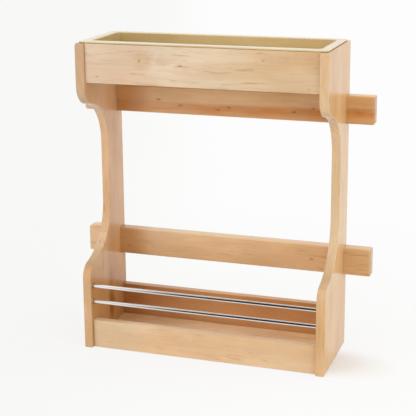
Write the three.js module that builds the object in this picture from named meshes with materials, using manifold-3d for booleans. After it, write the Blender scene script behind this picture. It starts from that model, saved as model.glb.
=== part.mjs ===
// Spice rack for the inside of a cabinet door: a maple frame whose two side panels are cut to an
// ogee outline, with a railed tray below and a moulded bin hanging in the frame at the top.
// Units are millimetres. X runs to the right seen from the front, Y to the back and Z up.
// The origin is the middle of the footprint on the surface that the rack stands on.
import * as THREE from 'three';
import { mergeVertices } from 'three/addons/utils/BufferGeometryUtils.js';
import Module from 'manifold-3d';

// Side panels
const rackWidth = 362;
const rackDepth = 133;
const panelHeight = 451;
const panelThickness = 12.7;
const panelEase = 1.2;
const topCornerRadius = 4;
const waistDepth = 52.5;
const upperNoseDrop = 60;
const upperNoseRadius = 30;
const upperCoveRadius = 65;
const lowerNoseStart = 105;
const lowerNoseRadius = 24;
const lowerCoveRadius = 80;

// Boards between the panels
const boardThickness = 12;
const boardSetback = 5;
const boardEase = 1;
const upperBoardHeight = 55.5;
const lowerFrontHeight = 42;
const lowerBackHeight = 60;
const floorThickness = 12;

// Mounting rails
const railLength = 441;
const railHeight = 40.5;
const railThickness = 19;
const railEase = 2.5;
const railCornerRadius = 5;
const upperRailDrop = 115.5;
const lowerRailStart = 112.5;

// Guard rods
const rodDiameter = 5.5;
const rodSetback = 9;
const rodChamfer = 0.5;
const rodSocketDepth = 8;
const upperRodHeight = 94;
const lowerRodHeight = 70;

// Removable bin
const binDepth = 52;
const binWall = 2;
const binDraft = 1.8;
const binSideGap = 1.5;
const binFrontGap = 3;
const binBackGap = 3;
const binCornerRadius = 8;
const binFloorRadius = 5;
const binMouthRadius = 1.5;
const flangeThickness = 2;
const flangeSideInset = 3;
const flangeFrontInset = 5;
const flangeBackInset = 3;
const flangeCornerRadius = 6;

// Dowels
const dowelDiameter = 6;
const dowelLength = 28;
const dowelSocketDepth = 8.5;
const dowelChamfer = 0.8;
const dowelPlaceShares = { bottom: 0.25, top: 0.75 };
const floorDowelPlaceShares = { front: 0.25, back: 0.75 };

// Rail screws
const screwLength = 35;
const screwDiameter = 4;
const screwPointLength = 7;
const screwTipDiameter = 0.8;
const screwHeadDiameter = 8;
const screwHeadHeight = 2.6;
const screwHeadRim = 0.4;
const driveSlotLength = 4.4;
const driveSlotWidth = 0.9;
const driveSlotDepth = 1.4;

// Clearances
const fitGap = 0.3;
const cutOverrun = 1;

// Facet counts
const sweepSegments = 14;
const easeSegments = 2;
const railEaseSegments = 3;
const cornerSegments = 5;
const rodSides = 20;
const dowelSides = 12;
const screwSides = 12;
const binCornerSteps = 6;
const binRoundSteps = 4;

// Places worked out from the sizes above
const frontY = -rackDepth / 2;
const backY = rackDepth / 2;
const innerX = rackWidth / 2 - panelThickness;
const boardLength = 2 * (innerX - fitGap);
const upperBoardBase = panelHeight - upperBoardHeight;
const upperNoseStart = panelHeight - upperNoseDrop;
const upperRailStart = panelHeight - upperRailDrop;
const frontBoardY = frontY + boardSetback;
const backBoardY = backY - boardThickness;
const railFrontY = backY - railThickness;
const floorFrontY = frontBoardY + boardThickness + fitGap;
const floorBackY = backBoardY - fitGap;
const flangeTopZ = panelHeight + fitGap + flangeThickness;
const screwX = rackWidth / 2 - panelThickness / 2;
const rodY = frontY + rodSetback;

// Local X, Y, Z of an extrusion laid along the rack's width and along its depth
const alongWidth = new THREE.Matrix4().makeBasis(
  new THREE.Vector3(0, 1, 0),
  new THREE.Vector3(0, 0, 1),
  new THREE.Vector3(1, 0, 0),
);
const alongDepth = new THREE.Matrix4().makeBasis(
  new THREE.Vector3(1, 0, 0),
  new THREE.Vector3(0, 0, 1),
  new THREE.Vector3(0, -1, 0),
);

const wasm = await Module();
wasm.setup();

// A closed geometry as a solid that can be joined and cut.
function toSolid(geometry) {
  const bare = geometry.clone();
  bare.deleteAttribute('normal');
  bare.deleteAttribute('uv');
  const joined = mergeVertices(bare);
  return new wasm.Manifold(
    new wasm.Mesh({
      numProp: 3,
      vertProperties: new Float32Array(joined.attributes.position.array),
      triVerts: new Uint32Array(joined.index.array),
    }),
  );
}

// A solid as a geometry with flat-shaded faces.
function toGeometry(solid) {
  const mesh = solid.getMesh();
  const geometry = new THREE.BufferGeometry();
  geometry.setAttribute('position', new THREE.BufferAttribute(mesh.vertProperties, 3));
  geometry.setIndex(new THREE.BufferAttribute(mesh.triVerts, 1));
  const flat = geometry.toNonIndexed();
  flat.computeVertexNormals();
  return flat;
}

// The body with every cutter taken away.
function cut(body, cutters) {
  let solid = toSolid(body);
  for (const cutter of cutters) {
    solid = solid.subtract(toSolid(cutter));
  }
  return toGeometry(solid);
}

function block(low, high) {
  const size = high.clone().sub(low);
  const middle = high.clone().add(low).multiplyScalar(1 / 2);
  return new THREE.BoxGeometry(size.x, size.y, size.z).translate(middle.x, middle.y, middle.z);
}

// A rectangle with rounded corners, from a low to a high corner.
function roundedRectangle(low, high, radius) {
  const shape = new THREE.Shape();
  shape.absarc(high.x - radius, low.y + radius, radius, -Math.PI / 2, 0);
  shape.absarc(high.x - radius, high.y - radius, radius, 0, Math.PI / 2);
  shape.absarc(low.x + radius, high.y - radius, radius, Math.PI / 2, Math.PI);
  shape.absarc(low.x + radius, low.y + radius, radius, Math.PI, (3 * Math.PI) / 2);
  shape.closePath();
  return shape;
}

// A round bar along X from one end to the other, with chamfered ends.
function roundBar(start, end, radius, chamfer, sides) {
  const profile = [
    new THREE.Vector2(0, start),
    new THREE.Vector2(radius - chamfer, start),
    new THREE.Vector2(radius, start + chamfer),
    new THREE.Vector2(radius, end - chamfer),
    new THREE.Vector2(radius - chamfer, end),
    new THREE.Vector2(0, end),
  ];
  return new THREE.LatheGeometry(profile, sides).rotateZ(-Math.PI / 2);
}

// A plain round hole along X, as a cutter.
function holeAlongWidth(start, end, radius, sides, y, z) {
  return new THREE.CylinderGeometry(radius, radius, end - start, sides)
    .rotateZ(-Math.PI / 2)
    .translate((start + end) / 2, y, z);
}

// An ogee between the panel's front edge and its waist. The nose is a convex arc that leaves the
// front edge at noseStart, and the cove is a concave arc that meets the nose and the waist at a tangent.
// side is +1 for the sweep above the waist and -1 for the one below it.
function ogee(noseStart, noseRadius, coveRadius, side) {
  const waistY = rackDepth - waistDepth;
  const noseCentre = new THREE.Vector2(noseRadius, noseStart);
  const across = waistY - coveRadius - noseRadius;
  const rise = Math.sqrt((noseRadius + coveRadius) ** 2 - across ** 2);
  const coveCentre = new THREE.Vector2(waistY - coveRadius, noseStart - side * rise);
  const meeting = Math.atan2(coveCentre.y - noseCentre.y, coveCentre.x - noseCentre.x);
  return { noseCentre, coveCentre, meeting, noseRadius, coveRadius };
}

// The outline of a side panel, seen from the side: its first coordinate is the depth behind the
// front edge and its second the height.
function panelOutline() {
  const upper = ogee(upperNoseStart, upperNoseRadius, upperCoveRadius, 1);
  const lower = ogee(lowerNoseStart, lowerNoseRadius, lowerCoveRadius, -1);
  const shape = new THREE.Shape();
  shape.moveTo(0, 0);
  shape.lineTo(rackDepth, 0);
  shape.lineTo(rackDepth, panelHeight);
  shape.lineTo(topCornerRadius, panelHeight);
  shape.absarc(
    topCornerRadius,
    panelHeight - topCornerRadius,
    topCornerRadius,
    Math.PI / 2,
    Math.PI,
  );
  shape.absarc(
    upper.noseCentre.x,
    upper.noseCentre.y,
    upper.noseRadius,
    -Math.PI,
    upper.meeting,
  );
  shape.absarc(
    upper.coveCentre.x,
    upper.coveCentre.y,
    upper.coveRadius,
    upper.meeting + Math.PI,
    0,
    true,
  );
  shape.absarc(
    lower.coveCentre.x,
    lower.coveCentre.y,
    lower.coveRadius,
    0,
    lower.meeting - Math.PI,
    true,
  );
  shape.absarc(
    lower.noseCentre.x,
    lower.noseCentre.y,
    lower.noseRadius,
    lower.meeting,
    Math.PI,
  );
  shape.closePath();
  return shape;
}

// Where each board meets the panels: the dowels of a board lie on its middle line.
const boards = [
  { name: 'upper_front', y: frontBoardY, base: upperBoardBase, height: upperBoardHeight },
  { name: 'upper_back', y: backBoardY, base: upperBoardBase, height: upperBoardHeight },
  { name: 'lower_front', y: frontBoardY, base: 0, height: lowerFrontHeight },
  { name: 'lower_back', y: backBoardY, base: 0, height: lowerBackHeight },
];

const rails = [
  { name: 'upper', base: upperRailStart },
  { name: 'lower', base: lowerRailStart },
];

const rods = [
  { name: 'upper', z: upperRodHeight },
  { name: 'lower', z: lowerRodHeight },
];

const sides = [
  { name: 'left', sign: -1 },
  { name: 'right', sign: 1 },
];

// Every dowel's name, the board it belongs to and its place in the side view.
function dowelPlaces() {
  const places = [];
  for (const board of boards) {
    for (const [level, share] of Object.entries(dowelPlaceShares)) {
      const y = board.y + boardThickness / 2;
      const z = board.base + board.height * share;
      places.push({ board: board.name, level, y, z });
    }
  }
  for (const [level, share] of Object.entries(floorDowelPlaceShares)) {
    const y = floorFrontY + (floorBackY - floorFrontY) * share;
    places.push({ board: 'tray_floor', level, y, z: floorThickness / 2 });
  }
  return places;
}

// A hole for a dowel, right across the joint between a board's end and a panel.
function dowelHole(place, sign) {
  const outer = sign * (innerX + dowelSocketDepth + fitGap);
  const inner = sign * (innerX + dowelSocketDepth - dowelLength - fitGap);
  const radius = dowelDiameter / 2 + fitGap;
  return holeAlongWidth(
    Math.min(inner, outer),
    Math.max(inner, outer),
    radius,
    dowelSides,
    place.y,
    place.z,
  );
}

// A screw along +Y with its head's face on the origin plane, and the hole that takes it when the
// gap is more than zero.
function screwBody(gap) {
  const shank = screwDiameter / 2 + gap;
  const head = screwHeadDiameter / 2 + gap;
  const headTop = gap > 0 ? cutOverrun : 0;
  const profile = [
    new THREE.Vector2(0, -screwLength - gap),
    new THREE.Vector2(screwTipDiameter / 2 + gap, -screwLength - gap),
    new THREE.Vector2(shank, -screwLength + screwPointLength),
    new THREE.Vector2(shank, -screwHeadHeight - gap),
    new THREE.Vector2(head, -screwHeadRim - gap),
    new THREE.Vector2(head, headTop),
    new THREE.Vector2(0, headTop),
  ];
  return new THREE.LatheGeometry(profile, screwSides);
}

// The cross-shaped recess in a screw's head, as two blocks that overlap in the middle.
function driveSlots() {
  const long = driveSlotLength / 2;
  const short = driveSlotWidth / 2;
  return [
    block(new THREE.Vector3(-long, -driveSlotDepth, -short), new THREE.Vector3(long, cutOverrun, short)),
    block(new THREE.Vector3(-short, -driveSlotDepth, -long), new THREE.Vector3(short, cutOverrun, long)),
  ];
}

function screwHole(rail, sign) {
  return screwBody(fitGap).translate(sign * screwX, backY, rail.base + railHeight / 2);
}

// A side panel: the eased outline, a notch for each rail, and blind holes for rods, dowels and screws.
function sidePanel(sign) {
  const blank = new THREE.ExtrudeGeometry(panelOutline(), {
    depth: panelThickness - 2 * panelEase,
    bevelThickness: panelEase,
    bevelSize: panelEase,
    bevelOffset: -panelEase,
    bevelSegments: easeSegments,
    curveSegments: sweepSegments,
  });
  blank.applyMatrix4(alongWidth);
  const start = sign > 0 ? innerX : -rackWidth / 2;
  blank.translate(start + panelEase, frontY, 0);
  const cutters = [];
  for (const rail of rails) {
    cutters.push(
      block(
        new THREE.Vector3(start - cutOverrun, railFrontY - fitGap, rail.base - fitGap),
        new THREE.Vector3(
          start + panelThickness + cutOverrun,
          backY + cutOverrun,
          rail.base + railHeight + fitGap,
        ),
      ),
    );
    cutters.push(screwHole(rail, sign));
  }
  for (const rod of rods) {
    const bottom = sign * (innerX + rodSocketDepth);
    const mouth = sign * (innerX - cutOverrun);
    const radius = rodDiameter / 2 + fitGap;
    cutters.push(
      holeAlongWidth(Math.min(bottom, mouth), Math.max(bottom, mouth), radius, rodSides, rodY, rod.z),
    );
  }
  for (const place of dowelPlaces()) {
    cutters.push(dowelHole(place, sign));
  }
  return cut(blank, cutters);
}

// A board that runs from panel to panel, with eased long edges and dowel holes in its ends.
function crossBoard(name, low, high) {
  const outline = roundedRectangle(low, high, boardEase);
  const blank = new THREE.ExtrudeGeometry(outline, {
    depth: boardLength,
    bevelEnabled: false,
    curveSegments: easeSegments,
  });
  blank.applyMatrix4(alongWidth);
  blank.translate(-boardLength / 2, 0, 0);
  const cutters = [];
  for (const place of dowelPlaces().filter((each) => each.board === name)) {
    for (const side of sides) {
      cutters.push(dowelHole(place, side.sign));
    }
  }
  return cut(blank, cutters);
}

// A mounting rail: rounded at its corners and eased all round, with a countersunk hole at each panel.
function mountingRail(rail) {
  const outline = roundedRectangle(
    new THREE.Vector2(-railLength / 2, rail.base),
    new THREE.Vector2(railLength / 2, rail.base + railHeight),
    railCornerRadius,
  );
  const blank = new THREE.ExtrudeGeometry(outline, {
    depth: railThickness - 2 * railEase,
    bevelThickness: railEase,
    bevelSize: railEase,
    bevelOffset: -railEase,
    bevelSegments: railEaseSegments,
    curveSegments: cornerSegments,
  });
  blank.applyMatrix4(alongDepth);
  blank.translate(0, backY - railEase, 0);
  const cutters = [];
  for (const side of sides) {
    cutters.push(screwHole(rail, side.sign));
  }
  return cut(blank, cutters);
}

// A plan of the bin at one level, as the half width, the front and back lines and the corner radius.
function inset(plan, distance) {
  return {
    side: plan.side - distance,
    front: plan.front + distance,
    back: plan.back - distance,
    corner: plan.corner - distance,
  };
}

// The points of a plan, counter-clockwise seen from above.
function ringPoints(plan, z) {
  const points = [];
  const corners = [
    { x: plan.side - plan.corner, y: plan.back - plan.corner },
    { x: -plan.side + plan.corner, y: plan.back - plan.corner },
    { x: -plan.side + plan.corner, y: plan.front + plan.corner },
    { x: plan.side - plan.corner, y: plan.front + plan.corner },
  ];
  corners.forEach((corner, quarter) => {
    for (let step = 0; step <= binCornerSteps; step += 1) {
      const angle = (Math.PI / 2) * (quarter + step / binCornerSteps);
      const x = corner.x + plan.corner * Math.cos(angle);
      const y = corner.y + plan.corner * Math.sin(angle);
      points.push(new THREE.Vector3(x, y, z));
    }
  });
  return points;
}

// A closed skin through rings of equal length, with a flat cap on the first and the last ring.
function loft(rings) {
  const count = rings[0].length;
  const positions = rings.flat().flatMap((point) => point.toArray());
  const triangles = [];
  for (let ring = 0; ring + 1 < rings.length; ring += 1) {
    for (let step = 0; step < count; step += 1) {
      const next = (step + 1) % count;
      const a = ring * count + step;
      const b = (ring + 1) * count + step;
      const c = (ring + 1) * count + next;
      const d = ring * count + next;
      triangles.push(a, b, c, a, c, d);
    }
  }
  const last = (rings.length - 1) * count;
  for (let step = 1; step + 1 < count; step += 1) {
    triangles.push(0, step, step + 1);
    triangles.push(last, last + step + 1, last + step);
  }
  const geometry = new THREE.BufferGeometry();
  geometry.setAttribute('position', new THREE.Float32BufferAttribute(positions, 3));
  geometry.setIndex(triangles);
  return toGeometry(toSolid(geometry));
}

// The bin's section, from the middle of its floor up the inner wall, round the flange and down
// the outer wall to the middle of its underside.
function binBody() {
  const wallPlan = {
    side: innerX - binSideGap,
    front: frontBoardY + boardThickness + binFrontGap,
    back: backBoardY - binBackGap,
    corner: binCornerRadius,
  };
  const flangePlan = {
    side: rackWidth / 2 - flangeSideInset,
    front: frontY + flangeFrontInset,
    back: backY - flangeBackInset,
    corner: flangeCornerRadius,
  };
  const flangeBaseZ = flangeTopZ - flangeThickness;
  const undersideZ = flangeTopZ - binDepth;
  const floorZ = undersideZ + binWall;
  const lip = flangeThickness / 2;
  const innerFloorRadius = binFloorRadius - binWall;
  const rings = [];
  for (let step = 0; step <= binRoundSteps; step += 1) {
    const angle = (Math.PI / 2) * (step / binRoundSteps);
    const distance = binWall + binDraft + innerFloorRadius * (1 - Math.sin(angle));
    const z = floorZ + innerFloorRadius * (1 - Math.cos(angle));
    rings.push(ringPoints(inset(wallPlan, distance), z));
  }
  for (let step = 0; step <= binRoundSteps; step += 1) {
    const angle = (Math.PI / 2) * (step / binRoundSteps);
    const distance = binWall - binMouthRadius * (1 - Math.cos(angle));
    const z = flangeTopZ - binMouthRadius * (1 - Math.sin(angle));
    rings.push(ringPoints(inset(wallPlan, distance), z));
  }
  for (let step = 0; step <= binRoundSteps; step += 1) {
    const angle = Math.PI * (step / binRoundSteps);
    const distance = lip * (1 - Math.sin(angle));
    const z = flangeTopZ - lip + lip * Math.cos(angle);
    rings.push(ringPoints(inset(flangePlan, distance), z));
  }
  rings.push(ringPoints(wallPlan, flangeBaseZ));
  for (let step = 0; step <= binRoundSteps; step += 1) {
    const angle = (Math.PI / 2) * (step / binRoundSteps);
    const distance = binDraft + binFloorRadius * (1 - Math.cos(angle));
    const z = undersideZ + binFloorRadius * (1 - Math.sin(angle));
    rings.push(ringPoints(inset(wallPlan, distance), z));
  }
  return loft(rings);
}

const maple = { color: 0xe2bd92, roughness: 0.35, metalness: 0 };
const paleMaple = { color: 0xe6c7a0, roughness: 0.35, metalness: 0 };
const birch = { color: 0xd9b58a, roughness: 0.7, metalness: 0 };
const chrome = { color: 0xc9ccd0, roughness: 0.12, metalness: 1 };
const zinc = { color: 0xb9bcc0, roughness: 0.35, metalness: 1 };
const almond = { color: 0xe6dcbe, roughness: 0.4, metalness: 0 };

const rack = new THREE.Group();

function add(name, geometry, finish) {
  const mesh = new THREE.Mesh(geometry, new THREE.MeshStandardMaterial(finish));
  mesh.name = name;
  rack.add(mesh);
  return mesh;
}

for (const side of sides) {
  add(`${side.name}_side_panel`, sidePanel(side.sign), maple);
}

for (const board of boards) {
  const low = new THREE.Vector2(board.y, board.base);
  const high = new THREE.Vector2(board.y + boardThickness, board.base + board.height);
  add(`${board.name}_board`, crossBoard(board.name, low, high), paleMaple);
}

add(
  'tray_floor',
  crossBoard(
    'tray_floor',
    new THREE.Vector2(floorFrontY, 0),
    new THREE.Vector2(floorBackY, floorThickness),
  ),
  maple,
);

for (const rail of rails) {
  add(`${rail.name}_mounting_rail`, mountingRail(rail), maple);
}

for (const rod of rods) {
  const end = innerX + rodSocketDepth - fitGap;
  const bar = roundBar(-end, end, rodDiameter / 2, rodChamfer, rodSides);
  add(`${rod.name}_rod`, bar, chrome).position.set(0, rodY, rod.z);
}

add('removable_bin', binBody(), almond);

for (const place of dowelPlaces()) {
  for (const side of sides) {
    const dowel = roundBar(
      -dowelLength / 2,
      dowelLength / 2,
      dowelDiameter / 2,
      dowelChamfer,
      dowelSides,
    );
    const x = side.sign * (innerX + dowelSocketDepth - dowelLength / 2);
    const name = `${place.board}_dowel_${side.name}_${place.level}`;
    add(name, dowel, birch).position.set(x, place.y, place.z);
  }
}

for (const rail of rails) {
  for (const side of sides) {
    const screw = add(`${rail.name}_rail_screw_${side.name}`, cut(screwBody(0), driveSlots()), zinc);
    screw.position.set(side.sign * screwX, backY, rail.base + railHeight / 2);
  }
}

export default rack;
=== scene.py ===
"""Looks of a maple spice rack that hangs inside a cabinet door.

Two side panels sawn to an ogee carry a top frame with a lift-out bin, a tray behind two guard
rods, and two mounting rails. Lengths are metres, with X to the right seen from the front, Y to
the back and Z up.
"""
import logging
import math
from dataclasses import dataclass
from enum import Enum
from typing import ClassVar, Optional, Sequence, Union

import bmesh
import bpy
import numpy as np
from mathutils import Matrix, Vector


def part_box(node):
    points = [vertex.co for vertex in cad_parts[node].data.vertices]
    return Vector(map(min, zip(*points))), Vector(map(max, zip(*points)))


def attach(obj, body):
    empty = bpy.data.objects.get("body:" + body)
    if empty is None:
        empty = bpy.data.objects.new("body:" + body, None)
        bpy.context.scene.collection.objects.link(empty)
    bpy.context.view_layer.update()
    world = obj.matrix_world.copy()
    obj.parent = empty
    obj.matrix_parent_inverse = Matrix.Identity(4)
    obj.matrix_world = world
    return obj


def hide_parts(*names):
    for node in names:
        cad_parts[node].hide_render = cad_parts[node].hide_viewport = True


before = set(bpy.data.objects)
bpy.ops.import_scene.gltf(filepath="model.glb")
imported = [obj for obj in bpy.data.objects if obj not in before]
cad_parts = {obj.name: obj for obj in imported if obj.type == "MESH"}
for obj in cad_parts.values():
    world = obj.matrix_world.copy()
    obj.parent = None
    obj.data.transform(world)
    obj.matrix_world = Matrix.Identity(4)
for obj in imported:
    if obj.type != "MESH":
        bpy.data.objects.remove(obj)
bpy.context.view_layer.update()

RACK_BODY = "rack_frame"
BIN_BODY = "bin"
FIT_GAP = 0.0003
OVERRUN = 0.001
HALF_TURN = math.pi
QUARTER_TURN = math.pi / 2
FULL_TURN = 2 * math.pi
SHARP_ANGLE = math.radians(32)
TURN_STEP = (0.3, 0.9)
NOISE_MIDDLE = (0.5, 0.5, 0.5)

log = logging.getLogger("spice_rack")

Colour = tuple[float, float, float]
Triple = tuple[float, float, float]
Socket = bpy.types.NodeSocket
Value = Union[float, Triple, Socket]


def srgb(red: int, green: int, blue: int) -> Colour:
    """Turns a screen colour with steps of 0 to 255 into linear light.

    Args:
        red: Red step.
        green: Green step.
        blue: Blue step.

    Returns:
        The colour in linear light.
    """
    steps = np.array((red, green, blue)) / 255
    linear = np.where(steps <= 0.04045, steps / 12.92, ((steps + 0.055) / 1.055) ** 2.4)
    return tuple(float(part) for part in linear)


class Side(Enum):
    """The two ends of the rack, as the sign of X."""

    LEFT = -1
    RIGHT = 1

    @property
    def word(self) -> str:
        """The side's name in lower case."""
        return self.name.lower()


class Grain(Enum):
    """Which way the fibres of a piece run."""

    WIDTH = "along X"
    UPRIGHT = "along Z"


@dataclass(frozen=True)
class Extent:
    """Lowest and highest corner of a piece of the frame."""

    low: Vector
    high: Vector

    @classmethod
    def of(cls, node: str) -> "Extent":
        """Reads the corners of one node of the frame.

        Args:
            node: The node's name.

        Returns:
            Its extent.
        """
        low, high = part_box(node)
        return cls(low, high)

    @property
    def middle(self) -> Vector:
        """The middle of the extent."""
        return (self.low + self.high) / 2

    @property
    def size(self) -> Vector:
        """The lengths of the extent's three edges."""
        return self.high - self.low


# Outlines and surfaces


def arc(centre: Sequence[float], radius: float, start: float, end: float, steps: int) -> np.ndarray:
    """Points on a circle: the centre plus the radius times cosine and sine of even angles.

    Args:
        centre: The circle's centre.
        radius: The circle's radius.
        start: First angle.
        end: Last angle.
        steps: Number of steps between them.

    Returns:
        One point a row.
    """
    angles = np.linspace(start, end, steps + 1)
    return np.asarray(centre) + radius * np.stack((np.cos(angles), np.sin(angles)), axis=1)


def distinct(outline: np.ndarray) -> np.ndarray:
    """Drops each point of a closed outline that repeats the one before it.

    Args:
        outline: Points of a closed outline, one a row.

    Returns:
        The outline with no point repeated.
    """
    step = np.linalg.norm(outline - np.roll(outline, 1, axis=0), axis=1)
    return outline[step > 1e-7]


def rounded_rectangle(
    low: Sequence[float], high: Sequence[float], radii: Sequence[float], steps: int
) -> np.ndarray:
    """A rectangle whose corners are quarter circles.

    Args:
        low: Low corner.
        high: High corner.
        radii: Corner radii, counter-clockwise from the low corner.
        steps: Steps in each quarter circle.

    Returns:
        The counter-clockwise outline, one point a row.
    """
    corners = (
        (low[0], low[1], 1, 1),
        (high[0], low[1], -1, 1),
        (high[0], high[1], -1, -1),
        (low[0], high[1], 1, -1),
    )
    parts = []
    for quarter, (x, y, inward_x, inward_y) in enumerate(corners):
        radius = radii[quarter]
        centre = (x + inward_x * radius, y + inward_y * radius)
        start = HALF_TURN + quarter * QUARTER_TURN
        parts.append(arc(centre, radius, start, start + QUARTER_TURN, steps))
    return distinct(np.concatenate(parts))


def inset(outline: np.ndarray, distance: float) -> np.ndarray:
    """Moves a closed outline inwards: each point goes along the mitre of its two edges.

    Args:
        outline: Counter-clockwise outline, one point a row.
        distance: How far the edges move.

    Returns:
        The smaller outline, with as many points.
    """
    ahead = np.roll(outline, -1, axis=0) - outline
    ahead /= np.linalg.norm(ahead, axis=1, keepdims=True)
    normal = np.stack((ahead[:, 1], -ahead[:, 0]), axis=1)
    before = np.roll(normal, 1, axis=0)
    shared = 1 + np.sum(normal * before, axis=1, keepdims=True)
    return outline - distance * (normal + before) / shared


def eased_rings(
    outline: np.ndarray, start: float, end: float, ease: float, steps: int
) -> tuple[np.ndarray, np.ndarray]:
    """Carries an outline from start to end, drawn in at both ends by a quarter round.

    The outline is inset by ease times one less the sine of an angle, where the distance from the
    end is ease times one less its cosine.

    Args:
        outline: Counter-clockwise outline, one point a row.
        start: Where the sweep starts.
        end: Where the sweep ends.
        ease: Radius of the quarter rounds.
        steps: Steps in each quarter round.

    Returns:
        The outlines, ring by ring, and the place of each ring along the sweep.
    """
    angles = np.linspace(0, QUARTER_TURN, steps + 1)
    drawn_in = ease * (1 - np.sin(angles))
    near = start + ease * (1 - np.cos(angles))
    far = end - ease * (1 - np.cos(angles))
    insets = np.concatenate((drawn_in, drawn_in[::-1]))
    places = np.concatenate((near, far[::-1]))
    rings = np.stack([inset(outline, distance) for distance in insets])
    return rings, places


def stand_rings(rings: np.ndarray, places: np.ndarray, axes: Sequence[int]) -> np.ndarray:
    """Turns flat rings and their places into points in space.

    Args:
        rings: Rings of flat points.
        places: Place of each ring along the sweep.
        axes: Which of X, Y and Z holds the first, the second and the sweep's coordinate.

    Returns:
        Rings of points in space.
    """
    count, around = rings.shape[:2]
    points = np.empty((count, around, 3))
    points[:, :, axes[0]] = rings[:, :, 0]
    points[:, :, axes[1]] = rings[:, :, 1]
    points[:, :, axes[2]] = places[:, None]
    return points


def round_rings(radii: np.ndarray, places: np.ndarray, sides: int) -> np.ndarray:
    """Circles about the origin: each ring's radius times cosine and sine of even angles.

    Args:
        radii: Radius of each ring, or one row of radii for each ring.
        places: Place of each ring along X.
        sides: Points in each ring.

    Returns:
        Rings of points in space, about the X axis.
    """
    angles = np.arange(sides) * FULL_TURN / sides
    reach = np.broadcast_to(np.asarray(radii).reshape(len(places), -1), (len(places), sides))
    across = reach * np.cos(angles)
    up = reach * np.sin(angles)
    along = np.broadcast_to(np.asarray(places)[:, None], across.shape)
    return np.stack((along, across, up), axis=2)


def loft(name: str, rings: np.ndarray) -> bpy.types.Mesh:
    """Skins a stack of rings with four-sided faces and closes its two ends with flat faces.

    Args:
        name: The mesh's name.
        rings: Rings of points, each with as many.

    Returns:
        A closed mesh whose faces point outwards.
    """
    count, around = rings.shape[:2]
    index = np.arange(count * around).reshape(count, around)
    low = index[:-1]
    high = index[1:]
    quads = np.stack((low, np.roll(low, -1, 1), np.roll(high, -1, 1), high), axis=2)
    faces = quads.reshape(-1, 4).tolist()
    faces.append(index[0, ::-1].tolist())
    faces.append(index[-1].tolist())
    mesh = bpy.data.meshes.new(name)
    mesh.from_pydata(rings.reshape(-1, 3).tolist(), [], faces)
    work = bmesh.new()
    work.from_mesh(mesh)
    bmesh.ops.recalc_face_normals(work, faces=work.faces)
    work.to_mesh(mesh)
    work.free()
    return mesh


def box_rings(low: Sequence[float], high: Sequence[float]) -> np.ndarray:
    """The two end rings of a plain block.

    Args:
        low: Low corner.
        high: High corner.

    Returns:
        Two rings of four points.
    """
    x = np.array((low[0], high[0], high[0], low[0]))
    y = np.array((low[1], low[1], high[1], high[1]))
    return np.stack([np.stack((x, y, np.full(4, z)), axis=1) for z in (low[2], high[2])])


def bar_rings(
    start: float, end: float, radius: float, sides: int, y: float, z: float
) -> np.ndarray:
    """The two end rings of a round bar along X.

    Args:
        start: One end.
        end: The other end.
        radius: The bar's radius.
        sides: Points in each ring.
        y: Place of the axis.
        z: Height of the axis.

    Returns:
        Two rings of points in space.
    """
    return round_rings(np.full(2, radius), np.array((start, end)), sides) + (0, y, z)


def chamfered_places(extent: Extent, chamfer: float) -> np.ndarray:
    """Where the four rings of a bar along X lie, when both its ends are chamfered.

    Args:
        extent: Extent of the bar.
        chamfer: Length of each chamfer.

    Returns:
        Four places along X.
    """
    low, high = extent.low.x, extent.high.x
    return np.array((low, low + chamfer, high - chamfer, high))


def carve(blank: bpy.types.Object, cutters: Sequence[np.ndarray]) -> None:
    """Takes lofted cutters out of a piece, and keeps the result as its mesh.

    Args:
        blank: The piece.
        cutters: Rings of each cutter.
    """
    tools = []
    for rings in cutters:
        tool = bpy.data.objects.new("cutter", loft("cutter", rings))
        bpy.context.scene.collection.objects.link(tool)
        tools.append(tool)
        step = blank.modifiers.new("cut", "BOOLEAN")
        step.operation = "DIFFERENCE"
        step.solver = "EXACT"
        step.object = tool
    bpy.context.view_layer.update()
    solved = blank.evaluated_get(bpy.context.evaluated_depsgraph_get())
    carved = bpy.data.meshes.new_from_object(solved)
    blank.modifiers.clear()
    plain = blank.data
    carved.name = plain.name
    blank.data = carved
    bpy.data.meshes.remove(plain)
    for tool in tools:
        mesh = tool.data
        bpy.data.objects.remove(tool)
        bpy.data.meshes.remove(mesh)


def place_piece(
    name: str, rings: np.ndarray, cutters: Sequence[np.ndarray] = ()
) -> bpy.types.Object:
    """Makes a piece from its rings, carves it and gives it smooth faces with crisp edges.

    Args:
        name: The piece's name.
        rings: Rings of its surface.
        cutters: Rings of what is taken out of it.

    Returns:
        The piece, at the origin with its place in its mesh.
    """
    piece = bpy.data.objects.new(name, loft(name, rings))
    bpy.context.scene.collection.objects.link(piece)
    if cutters:
        carve(piece, cutters)
    piece.data.shade_smooth()
    piece.data.set_sharp_from_angle(angle=SHARP_ANGLE)
    weighting = piece.modifiers.new("even_normals", "WEIGHTED_NORMAL")
    weighting.keep_sharp = True
    return piece


def enrol(
    piece: bpy.types.Object, node: str, body: str, material: bpy.types.Material
) -> None:
    """Dresses a piece and puts it in place of a node of the frame.

    Args:
        piece: The piece.
        node: The node that it stands for.
        body: The body that it moves with.
        material: The finish itself.
    """
    piece.data.materials.clear()
    piece.data.materials.append(material)
    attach(piece, body)
    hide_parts(node)
    log.info("%s stands for %s, %d faces", piece.name, node, len(piece.data.polygons))


# Materials


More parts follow.
